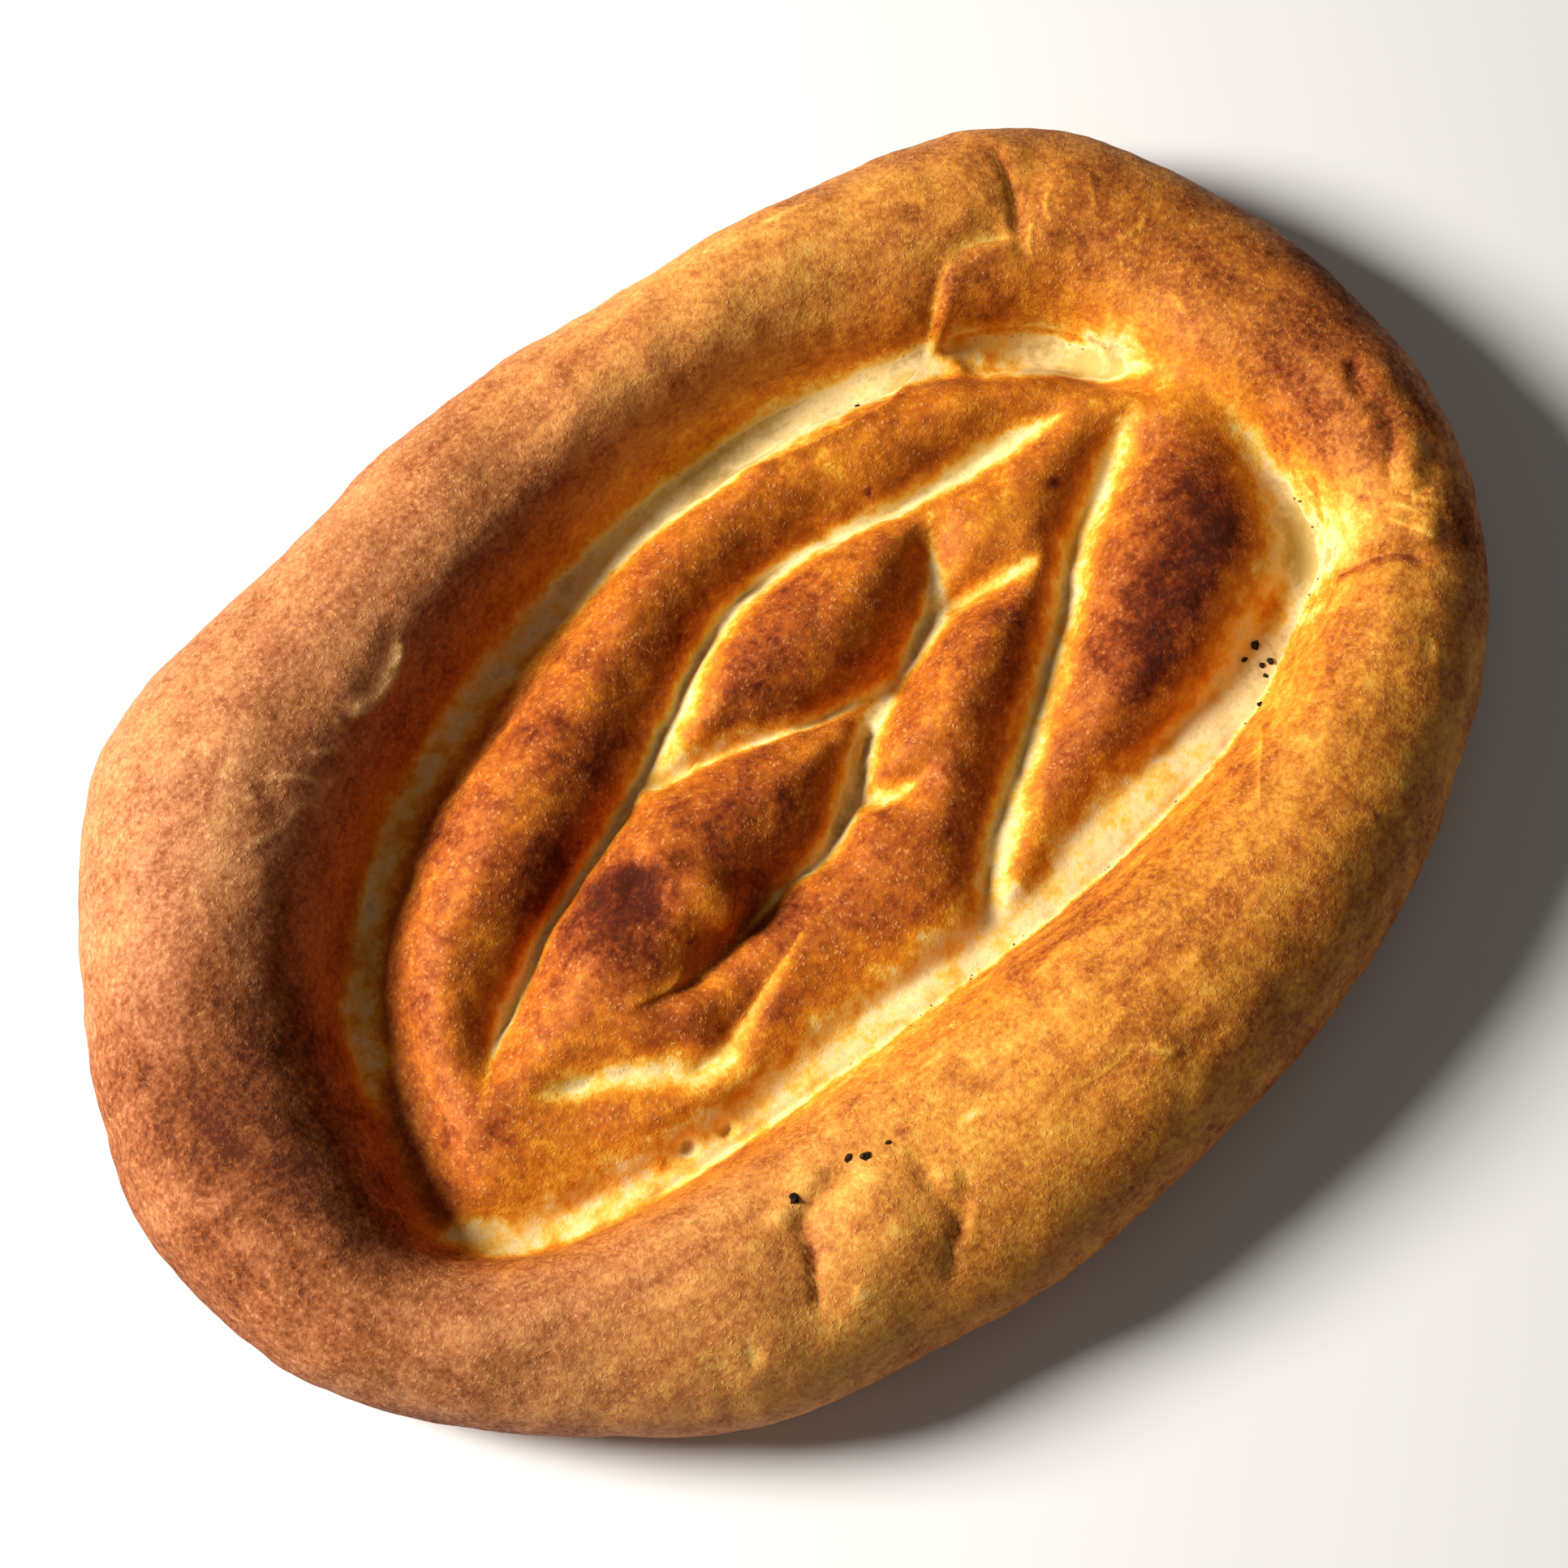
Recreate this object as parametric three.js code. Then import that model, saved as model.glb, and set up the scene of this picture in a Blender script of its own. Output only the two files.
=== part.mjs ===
// Oval flatbread: a puffed rim round a finger-pressed field, baked as one solid loaf on a flat base.
// Millimetres, +Z up, +X along the loaf. The origin is the middle of the base.
import * as THREE from 'three';

// Driving sizes of the loaf
const LENGTH = 340;
const WIDTH = 237;
const RIM_HEIGHT = 40; // crest of the rim above the base
const FIELD_HEIGHT = 28; // crown of the strips in the field
const WALL_HEIGHT = 17; // where the outer wall stands out furthest
const BASE_TUCK = 15; // how far the base draws in under the outer wall
const CREST_SHARE = 0.52; // place of the rim's crest between trough and outline

// Mesh steps: the field is a square net whose border has as many points as the rim
const FIELD_STEPS = 48;
const RIM_POINTS = 4 * FIELD_STEPS;
const INNER_WALL_STEPS = 6;
const OUTER_WALL_STEPS = 6;
const UNDER_STEPS = 3;
const LAID_GAP = 0.55; // least gap between points laid on a cut, as a share of the net's own
const EVENING_TURNS = 4;
const EVENING_SHARE = 0.5;
const SLIVER = 0.4; // a triangle of the field is at least this wide in plan

// Outline: an oval of this power, with swells and flats by direction
// (at and spread in degrees from +X, push in millimetres)
const OVAL_POWER = 2.2;
const OUTLINE_SWELLS = [
  { at: 30, spread: 8, push: 7 },
  { at: 60, spread: 13, push: -4.5 },
  { at: 135, spread: 10, push: 12 },
  { at: 206, spread: 12, push: -8 },
  { at: 237, spread: 9, push: -3 },
  { at: 292, spread: 12, push: 1.5 },
  { at: 351, spread: 7, push: -2 },
];

// Rim: how the crest rises and sinks by direction, and how round its inner wall is
const CREST_SWELLS = [
  { at: 15, spread: 16, push: -3.5 },
  { at: 60, spread: 16, push: 1.5 },
  { at: 86, spread: 12, push: -1.5 },
  { at: 138, spread: 24, push: 3.2 },
  { at: 190, spread: 18, push: 1.5 },
  { at: 240, spread: 14, push: -2 },
  { at: 285, spread: 20, push: 2 },
  { at: 332, spread: 12, push: -3 },
];
const WALL_ROUNDNESS = 0.6; // power of the wall's rise: lower is steeper at the foot
const WALL_STEEPENING = [
  { at: 24, spread: 12, push: -0.25 },
  { at: 130, spread: 24, push: -0.1 },
  { at: 280, spread: 40, push: -0.1 },
];
const WALL_FOOT = 1; // level strip of the trough on the rim's side
const WALL_CROWDING = 1.2; // draws the wall's rings closer towards its foot

// Trough round the field, along the foot of the rim: x, y and height
const FIELD_CENTRE = new THREE.Vector2(0, 4);
const TROUGH = [
  [72, -60, 17.5], [101, -51, 17.5], [118, -42, 19], [127, -16, 22], [124, 4, 27], [118, 23, 15],
  [112, 37, 11], [89, 53, 18], [52, 69, 14], [8, 73, 14], [-35, 68, 14], [-74, 56, 14],
  [-104, 34, 14], [-120, 2, 15], [-125, -22, 15], [-113, -36, 15], [-78, -48, 16.5],
  [-37, -54, 16.5], [24, -61, 17],
];
const TROUGH_FLOOR = 4.5; // width of the level strip along the trough, widened by direction
const TROUGH_WIDENING = [
  { at: 22, spread: 7, push: 3 },
  { at: 50, spread: 14, push: 3.5 },
  { at: 135, spread: 42, push: 7 },
  { at: 312, spread: 16, push: 8 },
  { at: 250, spread: 24, push: 3.5 },
];
const TROUGH_FLANK = 17; // how far the strips take to rise from the trough, less by direction
const TROUGH_STEEPENING = [{ at: 48, spread: 15, push: -8 }];

// Finger cuts that part the field into strips and lozenges, along their bottoms: x, y and height
const CUT_FLOOR = 1.8;
const CUT_FLANK = 17;
const CUTS = {
  longCut: [
    [104, 17, 28], [88, 23, 20], [63, 29, 16.5], [32, 38, 16], [9, 38, 15.5],
    [-12, 30, 15.5], [-38, 20, 15], [-64, 13, 15], [-86, 3, 17], [-101, -8, 27],
  ],
  upperCross: [[63, 28, 25], [57, 19, 21], [46, 8, 14], [36, 4, 13], [28, 2, 13]],
  lowerCross: [[28, 2, 13], [7, 8, 16], [-9, 15, 17], [-26, 21, 16]],
  middleCut: [
    [28, 2, 13], [16, -3, 14], [3, -11, 14.5], [-9, -16, 15.5],
    [-25, -16, 16.5], [-42, -18, 19], [-56, -17, 23.5], [-67, -11, 28],
  ],
  lozengeTwist: [[3, -11, 14], [10, -17, 18], [21, -20, 27]],
  upperTwist: [[46, 8, 14], [55, 4, 17], [68, 0, 22], [76, -3, 27]],
  outerCut: [
    [112, 10, 28], [101, 5, 18.5], [81, -3, 15.5], [65, -14, 15.5],
    [46, -25, 15.5], [31, -33, 16.5], [16, -42, 17.5], [6, -50, 17],
  ],
  lowerCut: [
    [-98, -11, 28], [-86, -16, 23], [-73, -24, 20.5], [-60, -34, 20],
    [-51, -32, 21], [-41, -29.5, 22.5], [-31, -27.5, 24.5], [-20, -24, 28],
  ],
};

// Crown of the field: where single strips puff up or lie low (x, y, spread and lift)
const CROWN_PUFFS = [
  { x: -38, y: -4, spread: 17, lift: 3 },
  { x: 88, y: -24, spread: 16, lift: 2.5 },
  { x: 36, y: -10, spread: 14, lift: 2 },
  { x: 14, y: 20, spread: 14, lift: 1.5 },
  { x: 70, y: 10, spread: 11, lift: -2 },
  { x: -96, y: -30, spread: 14, lift: -4 },
  { x: -32, y: -42, spread: 18, lift: -6 },
  { x: 30, y: -48, spread: 16, lift: -4 },
  { x: -50, y: 40, spread: 20, lift: 1.5 },
];

// Folds and tears of the rim's crust: a line in plan with its depth and half-width
const FOLDS = [
  { line: [[84, 47], [95, 55], [113, 55], [124, 59], [140, 67]], depth: 1.6, width: 5 },
  { line: [[-46, 76], [-57, 71], [-67, 69]], depth: 2, width: 4 },
  { line: [[107, -53], [118, -56], [133, -68]], depth: 1.8, width: 6 },
  { line: [[-69, -68], [-77, -81], [-82, -88]], depth: 1.5, width: 4 },
  { line: [[-46, -80], [-49, -92], [-54, -100]], depth: 1.4, width: 4 },
];

// Single blisters and puffs of the rim's crust (x, y, spread and lift)
const BLISTERS = [
  { x: 150, y: -26, spread: 7, lift: 1.6 },
  { x: -63, y: -86, spread: 9, lift: 1.8 },
  { x: 103, y: 66, spread: 9, lift: 1.4 },
  { x: 112, y: -66, spread: 9, lift: 1.4 },
  { x: -84, y: 76, spread: 10, lift: 1.4 },
];

// Dough lumps spread evenly over the top, with sizes drawn from a seed
const LUMP_COUNT = 90;
const LUMP_SEED = 11;
const LUMP_HEIGHT = 1.3;
const LUMP_SPREAD = [8, 15];
const GOLDEN_ANGLE = Math.PI * (3 - Math.sqrt(5));

const PUFF_POWER = 0.64; // how round the strips swell beside a cut
const BLEND_POWER = 5; // how sharply crossing cuts blend
const LINE_SAMPLES = 160;

const { clamp, degToRad, radToDeg, seededRandom, lerp } = THREE.MathUtils;

// Sum of bell-shaped swells at a direction in radians
function swellAt(swells, angle) {
  return swells.reduce((sum, { at, spread, push }) => {
    const away = THREE.MathUtils.euclideanModulo(radToDeg(angle) - at + 180, 360) - 180;
    return sum + push * Math.exp(-0.5 * (away / spread) ** 2);
  }, 0);
}

function outlineRadius(angle) {
  const along = Math.abs(Math.cos(angle) / (LENGTH / 2)) ** OVAL_POWER;
  const across = Math.abs(Math.sin(angle) / (WIDTH / 2)) ** OVAL_POWER;
  return (along + across) ** (-1 / OVAL_POWER) + swellAt(OUTLINE_SWELLS, angle);
}

function smoothLine(points, closed, samples) {
  const vectors = points.map(([x, y, z = 0]) => new THREE.Vector3(x, y, z));
  return new THREE.CatmullRomCurve3(vectors, closed, 'centripetal').getSpacedPoints(samples);
}

// Nearest place on a sampled line in plan: its distance and its position
function nearest(line, x, y) {
  let best = { distance: Infinity };
  for (let i = 1; i < line.length; i++) {
    const [a, b] = [line[i - 1], line[i]];
    const [dx, dy] = [b.x - a.x, b.y - a.y];
    const share = clamp(((x - a.x) * dx + (y - a.y) * dy) / (dx * dx + dy * dy || 1), 0, 1);
    const [nearX, nearY] = [a.x + share * dx, a.y + share * dy];
    const distance = Math.hypot(x - nearX, y - nearY);
    if (distance < best.distance) best = { distance, x: nearX, y: nearY, height: lerp(a.z, b.z, share) };
  }
  return best;
}

// Rise of dough beside a cut: 0 at its foot, level at 1
function puff(share, power) {
  return (1 - (1 - clamp(share, 0, 1)) ** 2) ** power;
}

const troughLine = smoothLine(TROUGH, true, RIM_POINTS);
const cutLines = Object.values(CUTS).map((points) => smoothLine(points, false, LINE_SAMPLES));
const foldLines = FOLDS.map(({ line, depth, width }) => ({
  line: smoothLine(line, false, LINE_SAMPLES),
  depth,
  width,
}));

const lumps = Array.from({ length: LUMP_COUNT }, (_, i) => {
  const reach = Math.sqrt((i + 0.5) / LUMP_COUNT);
  const turn = i * GOLDEN_ANGLE;
  return {
    x: (LENGTH / 2) * reach * Math.cos(turn),
    y: (WIDTH / 2) * reach * Math.sin(turn),
    spread: lerp(...LUMP_SPREAD, seededRandom(LUMP_SEED + 2 * i)),
    lift: LUMP_HEIGHT * (2 * seededRandom(LUMP_SEED + 2 * i + 1) - 1),
  };
});

function bumpsAt(bumps, x, y) {
  return bumps.reduce((sum, bump) => {
    const away = ((x - bump.x) ** 2 + (y - bump.y) ** 2) / bump.spread ** 2;
    return sum + bump.lift * Math.exp(-0.5 * away);
  }, 0);
}

function foldDepth(x, y) {
  return foldLines.reduce((sum, { line, depth, width }) => {
    const { distance } = nearest(line, x, y);
    return sum + depth * Math.exp(-((distance / width) ** 2));
  }, 0);
}

// Height of the pressed field: its crown, sunk along the trough and the cuts
function fieldHeight(x, y) {
  const crown = FIELD_HEIGHT + bumpsAt(CROWN_PUFFS, x, y) + bumpsAt(lumps, x, y);
  const sinkAt = (line, floor, flank) => {
    const { distance, height } = nearest(line, x, y);
    return Math.max(0, crown - height) * (1 - puff((distance - floor) / flank, PUFF_POWER));
  };
  const angle = Math.atan2(y - FIELD_CENTRE.y, x - FIELD_CENTRE.x);
  const troughFloor = TROUGH_FLOOR + swellAt(TROUGH_WIDENING, angle);
  const troughFlank = TROUGH_FLANK + swellAt(TROUGH_STEEPENING, angle);
  const sinks = cutLines.map((line) => sinkAt(line, CUT_FLOOR, CUT_FLANK));
  sinks.push(sinkAt(troughLine, troughFloor, troughFlank));
  return crown - sinks.reduce((sum, sink) => sum + sink ** BLEND_POWER, 0) ** (1 / BLEND_POWER);
}

// Place of a net point on the rings round the field's centre: its ring and its step round that ring
function netPlace(column, row) {
  const half = FIELD_STEPS / 2;
  const [a, b] = [column - half, row - half];
  const ring = Math.max(Math.abs(a), Math.abs(b));
  let step = 7 * ring + a;
  if (a === ring) step = b + ring;
  else if (b === ring) step = 3 * ring - a;
  else if (a === -ring) step = 5 * ring - b;
  return { ring, step };
}

// Point of the trough at a fractional place round it
function troughAt(place) {
  const low = Math.floor(place) % RIM_POINTS;
  return troughLine[low].clone().lerp(troughLine[(low + 1) % RIM_POINTS], place - Math.floor(place));
}

// Section of the rim at one point of the trough, from the foot of its inner wall to the base
function rimSection(foot) {
  const angle = Math.atan2(foot.y, foot.x);
  const out = new THREE.Vector2(Math.cos(angle), Math.sin(angle));
  const width = outlineRadius(angle) - Math.hypot(foot.x, foot.y);
  const start = Math.hypot(foot.x, foot.y);
  const crest = RIM_HEIGHT + swellAt(CREST_SWELLS, angle);
  const roundness = WALL_ROUNDNESS + swellAt(WALL_STEEPENING, angle);
  const section = [];
  const add = (reach, height, lean) => {
    const [x, y] = [out.x * reach, out.y * reach];
    const puffs = bumpsAt(lumps, x, y) + bumpsAt(BLISTERS, x, y);
    const swell = puffs - foldDepth(x, y) * Math.cos(lean);
    const outward = reach + swell * Math.sin(lean);
    section.push(new THREE.Vector3(out.x * outward, out.y * outward, height + swell * Math.cos(lean)));
  };
  for (let i = 1; i <= INNER_WALL_STEPS; i++) {
    const across = width * CREST_SHARE * (i / INNER_WALL_STEPS) ** WALL_CROWDING;
    const rise = puff((across - WALL_FOOT) / (width * CREST_SHARE - WALL_FOOT), roundness);
    add(start + across, lerp(foot.z, crest, rise), 0);
  }
  for (let i = 1; i <= OUTER_WALL_STEPS; i++) {
    const lean = degToRad((90 * i) / OUTER_WALL_STEPS);
    const reach = start + width * (CREST_SHARE + (1 - CREST_SHARE) * Math.sin(lean));
    add(reach, WALL_HEIGHT + (crest - WALL_HEIGHT) * Math.cos(lean), lean);
  }
  for (let i = 1; i <= UNDER_STEPS; i++) {
    const lean = degToRad((90 * i) / UNDER_STEPS);
    const reach = start + width - BASE_TUCK * (1 - Math.cos(lean));
    section.push(new THREE.Vector3(out.x * reach, out.y * reach, WALL_HEIGHT * (1 - Math.sin(lean))));
  }
  return section;
}

// Distance of a point from a line through two others, in plan
function planDistance(point, from, to) {
  const [dx, dy] = [to.x - from.x, to.y - from.y];
  return Math.abs((point.x - from.x) * dy - (point.y - from.y) * dx) / Math.hypot(dx, dy);
}

// The field's net in plan: rings drawn out to the trough, with a row of points laid along each cut
function fieldNet() {
  const half = FIELD_STEPS / 2;
  const steps = Array.from({ length: FIELD_STEPS + 1 }, (_, i) => i);
  const net = steps.map((j) => steps.map((i) => {
    const { ring, step } = netPlace(i, j);
    const edge = troughAt(ring ? (step * half) / ring : 0);
    return FIELD_CENTRE.clone().lerp(new THREE.Vector2(edge.x, edge.y), ring / half);
  }));
  const inside = steps.slice(1, -1).flatMap((j) => steps.slice(1, -1).map((i) => ({ i, j })));
  const around = ({ i, j }) => [net[j][i - 1], net[j][i + 1], net[j - 1][i], net[j + 1][i]];

  // Points next to a cut, nearest first, move onto it where no other has been laid close by
  const near = cutLines.flatMap((line) => inside.map((place) => {
    const at = net[place.j][place.i];
    const { distance, x, y } = nearest(line, at.x, at.y);
    const normal = new THREE.Vector2(at.x - x, at.y - y).normalize();
    const gap = Math.max(...around(place).map((p) => Math.abs(p.clone().sub(at).dot(normal))));
    return { place, distance, gap, target: new THREE.Vector2(x, y) };
  })).filter(({ distance, gap }) => distance < gap / 2);
  const laid = new Map();
  for (const { place, gap, target } of near.sort((a, b) => a.distance - b.distance)) {
    const crowded = [...laid.values()].some((p) => p.distanceTo(target) < LAID_GAP * gap);
    if (!laid.has(place) && !crowded) laid.set(place, target);
  }
  laid.forEach((target, { i, j }) => { net[j][i] = target; });

  // The other points are evened out between their neighbours
  for (let turn = 0; turn < EVENING_TURNS; turn++) {
    const moved = inside.map((place) => {
      const middle = around(place).reduce((sum, p) => sum.add(p), new THREE.Vector2()).divideScalar(4);
      return laid.get(place) ?? net[place.j][place.i].clone().lerp(middle, EVENING_SHARE);
    });
    inside.forEach(({ i, j }, k) => { net[j][i] = moved[k]; });
  }
  return net;
}

function buildLoaf() {
  const positions = [];
  const faces = [];
  const add = (v) => positions.push(v.x, v.y, v.z) / 3 - 1;
  const point = (i) => new THREE.Vector3().fromArray(positions, 3 * i);
  // A four-sided cell is split along the diagonal that suits its surface better
  const addCell = (a, b, c, d, splitCost) => {
    const [pa, pb, pc, pd] = [a, b, c, d].map(point);
    const alongAC = splitCost(pa, pc, pb, pd) <= splitCost(pb, pd, pa, pc);
    faces.push(...(alongAC ? [a, b, c, a, c, d] : [a, b, d, b, c, d]));
  };
  const rimSplit = (from, to) => from.distanceTo(to);
  const fieldSplit = (from, to, left, right) => {
    const middle = from.clone().lerp(to, 0.5);
    const miss = Math.abs(middle.z - fieldHeight(middle.x, middle.y));
    const reach = Math.min(planDistance(left, from, to), planDistance(right, from, to));
    return miss + (reach < SLIVER ? FIELD_HEIGHT : 0);
  };

  // Field: the net in plan, raised to the field's height inside its border on the trough
  const plan = fieldNet();
  const border = [];
  const net = plan.map((row, j) => row.map((place, i) => {
    const { ring, step } = netPlace(i, j);
    const onBorder = ring === FIELD_STEPS / 2;
    const height = onBorder ? troughLine[step % RIM_POINTS].z : fieldHeight(place.x, place.y);
    const index = add(new THREE.Vector3(place.x, place.y, height));
    if (onBorder) border[step % RIM_POINTS] = index;
    return index;
  }));
  for (let j = 0; j < FIELD_STEPS; j++) {
    for (let i = 0; i < FIELD_STEPS; i++) {
      addCell(net[j][i], net[j][i + 1], net[j + 1][i + 1], net[j + 1][i], fieldSplit);
    }
  }

  // Rim: rings from the trough over the crest and down to the base
  const sections = border.map((index) => rimSection(point(index)));
  let inner = border;
  for (let ring = 0; ring < sections[0].length; ring++) {
    const outer = sections.map((section) => add(section[ring]));
    for (let i = 0; i < RIM_POINTS; i++) {
      const next = (i + 1) % RIM_POINTS;
      addCell(inner[i], outer[i], outer[next], inner[next], rimSplit);
    }
    inner = outer;
  }

  // Flat base
  const middle = add(new THREE.Vector3(0, 0, 0));
  for (let i = 0; i < RIM_POINTS; i++) faces.push(inner[i], middle, inner[(i + 1) % RIM_POINTS]);

  const geometry = new THREE.BufferGeometry();
  geometry.setAttribute('position', new THREE.Float32BufferAttribute(positions, 3));
  geometry.setIndex(faces);
  geometry.computeBoundingBox();
  const centre = geometry.boundingBox.getCenter(new THREE.Vector3());
  geometry.translate(-centre.x, -centre.y, 0);
  geometry.computeVertexNormals();
  return geometry;
}

const crust = new THREE.MeshStandardMaterial({ color: 0xbf7a36, roughness: 0.62, metalness: 0 });
const loaf = new THREE.Mesh(buildLoaf(), crust);
loaf.name = 'loaf';

const flatbread = new THREE.Group();
flatbread.name = 'flatbread';
flatbread.add(loaf);

export default flatbread;
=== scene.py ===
import math

import bpy
import numpy as np
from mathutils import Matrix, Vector


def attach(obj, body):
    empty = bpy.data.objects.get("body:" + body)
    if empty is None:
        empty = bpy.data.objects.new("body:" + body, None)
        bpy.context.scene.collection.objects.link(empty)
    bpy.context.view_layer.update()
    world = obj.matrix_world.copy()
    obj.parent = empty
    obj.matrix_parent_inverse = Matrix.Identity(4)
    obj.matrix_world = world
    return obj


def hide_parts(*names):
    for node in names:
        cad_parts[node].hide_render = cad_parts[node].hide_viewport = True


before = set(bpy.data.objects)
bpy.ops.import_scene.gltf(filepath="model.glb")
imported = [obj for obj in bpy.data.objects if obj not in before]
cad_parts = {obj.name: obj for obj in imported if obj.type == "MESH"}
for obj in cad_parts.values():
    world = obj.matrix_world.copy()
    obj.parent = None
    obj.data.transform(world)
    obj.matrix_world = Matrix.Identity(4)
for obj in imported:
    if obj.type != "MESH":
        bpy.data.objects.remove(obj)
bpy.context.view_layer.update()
print("frame loaded:", sorted(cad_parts))

mm = 0.001


# Small helpers

def pickOnly(piece):
    bpy.ops.object.select_all(action="DESELECT")
    piece.select_set(True)
    bpy.context.view_layer.objects.active = piece


def applyModifier(piece, kind, name, **values):
    pickOnly(piece)
    modifier = piece.modifiers.new(name, kind)
    for key, value in values.items():
        setattr(modifier, key, value)
    bpy.ops.object.modifier_apply(modifier=name)


def readVectors(mesh, field):
    values = np.empty(len(mesh.vertices) * 3, np.float32)
    mesh.vertices.foreach_get(field, values)
    return values.reshape(-1, 3).astype(float)


def writePoints(mesh, points):
    mesh.vertices.foreach_set("co", points.astype(np.float32).ravel())
    mesh.update()


def writeAttribute(mesh, name, values):
    layer = mesh.attributes.new(name, "FLOAT", "POINT")
    layer.data.foreach_set("value", values.astype(np.float32))


def ease(low, high, values):
    share = np.clip((values - low) / (high - low), 0, 1)
    return share * share * (3 - 2 * share)


def smoothLine(points, closed=False, perSpan=8):
    knots = np.array(points, float)
    if closed:
        knots = np.vstack([knots[-1:], knots, knots[:2]])
    else:
        knots = np.vstack([2 * knots[0] - knots[1], knots, 2 * knots[-1] - knots[-2]])
    steps = np.linspace(0, 1, perSpan, endpoint=False)[:, None]
    spans = []
    for a, b, c, d in zip(knots, knots[1:], knots[2:], knots[3:]):
        spans.append(b + 0.5 * steps * (c - a + steps * (2 * a - 5 * b + 4 * c - d
                                                         + steps * (3 * (b - c) + d - a))))
    return np.vstack(spans + [knots[-2][None, :]])


# Distance in plan to a line, the side of it (1 on the left of its run) and the share along it
def measureLine(line, plan, reach):
    away = np.full(len(plan), np.inf)
    side = np.zeros(len(plan))
    share = np.zeros(len(plan))
    close = np.all((plan > line.min(0) - reach) & (plan < line.max(0) + reach), axis=1)
    near = plan[close]
    best = np.full(len(near), np.inf)
    nearSide = np.zeros(len(near))
    nearShare = np.zeros(len(near))
    for i, (start, end) in enumerate(zip(line, line[1:])):
        run = end - start
        along = np.clip((near - start) @ run / max(run @ run, 1e-9), 0, 1)
        offset = near - start - along[:, None] * run
        distance = np.hypot(offset[:, 0], offset[:, 1])
        closer = distance < best
        best[closer] = distance[closer]
        cross = run[0] * offset[:, 1] - run[1] * offset[:, 0]
        nearSide[closer] = np.sign(cross[closer])
        nearShare[closer] = (i + along[closer]) / (len(line) - 1)
    away[close], side[close], share[close] = best, nearSide, nearShare
    return away, side, share


def insideLine(line, plan):
    inside = np.zeros(len(plan), bool)
    for (ax, ay), (bx, by) in zip(line, np.roll(line, -1, axis=0)):
        if ay == by:
            continue
        crosses = (ay > plan[:, 1]) != (by > plan[:, 1])
        inside ^= crosses & (plan[:, 0] < ax + (plan[:, 1] - ay) * (bx - ax) / (by - ay))
    return inside


# Values that a line carries at its points, read at a share of its length
def alongLine(values, share):
    spots = np.linspace(0, 1, len(values))
    return [np.interp(share, spots, column) for column in values.T]


# Loaf: the solid's own form, rounded, with the crust's finer relief. Places are x, y in millimetres.
loafPiece = {
    "name": "bakedLoaf",
    "node": "loaf",
    "slot": "crust",
    "mergeGap": 0.01 * mm,
    "quadAngle": (50, 60),  # degrees between triangles that become one quad
    "smoothLevels": 2,
    "evenTurns": 3,
    "evenCorner": (-67, -27.5, 8, 3),  # a cut's corner with its heights evened: x, y, reach and span
    "topFacing": (-0.15, 0.2),  # upward part of a normal, from the side wall to the top
    "baseFacing": -0.5,
    "reliefFrom": (3, 9),  # heights between which the relief fades in over the base
    "swells": [  # noise pushed into the crust: name, size and height
        ("doughSwell", 15, 1.3),
        ("doughPebble", 6, 0.5),
        ("doughGrain", 2.6, 0.12),
    ],
    "footLine": [  # x, y of the rim's foot, width of pale floor inside it, width over which that browns,
        # bake of the floor, and half width of the change to the rim's bake
        (72, -60, 9, 12, 0.08, 0.5), (101, -51, 9, 12, 0.07, 0.5), (118, -42, 6, 16, 0.05, 0.8),
        (127, -16, 1, 15, 0.05, 1.5), (124, 4, -6, 6, 0.2, 6), (120, 22, 5, 4, 0.05, 0.8),
        # In the pocket, (118, 30) to (104, 46), the floor's low bake gives grey dough as painted shade
        (118, 30, 9, 4, 0.02, 0.5), (113, 39, 12, 5, 0.02, 0.4), (104, 46, 11, 5, 0.03, 0.5),
        (91, 53.5, 6, 4, 0.08, 1), (52, 69, 12, 4, 0.05, 1.2), (8, 73, 8, 6, 0.07, 1.2),
        (-35, 68, 4.5, 8, 0.12, 1.2), (-74, 56, 4, 7, 0.15, 1.2), (-104, 34, 4, 7, 0.17, 1.2),
        (-115, 18, 4, 6, 0.1, 1.2), (-120, 2, -3, 7, 0.25, 2.5), (-126, -16, -2, 6, 0.2, 2.5),
        (-124, -24, 4, 6, 0.09, 1.5), (-113, -36, 6, 9, 0.14, 1.2), (-78, -48, 6, 12, 0.14, 0.8),
        (-37, -54, 7, 12, 0.12, 0.5), (24, -61, 9, 11, 0.09, 0.5),
    ],
    "footReach": 40,  # how far the distance from the foot is measured
}

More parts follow.
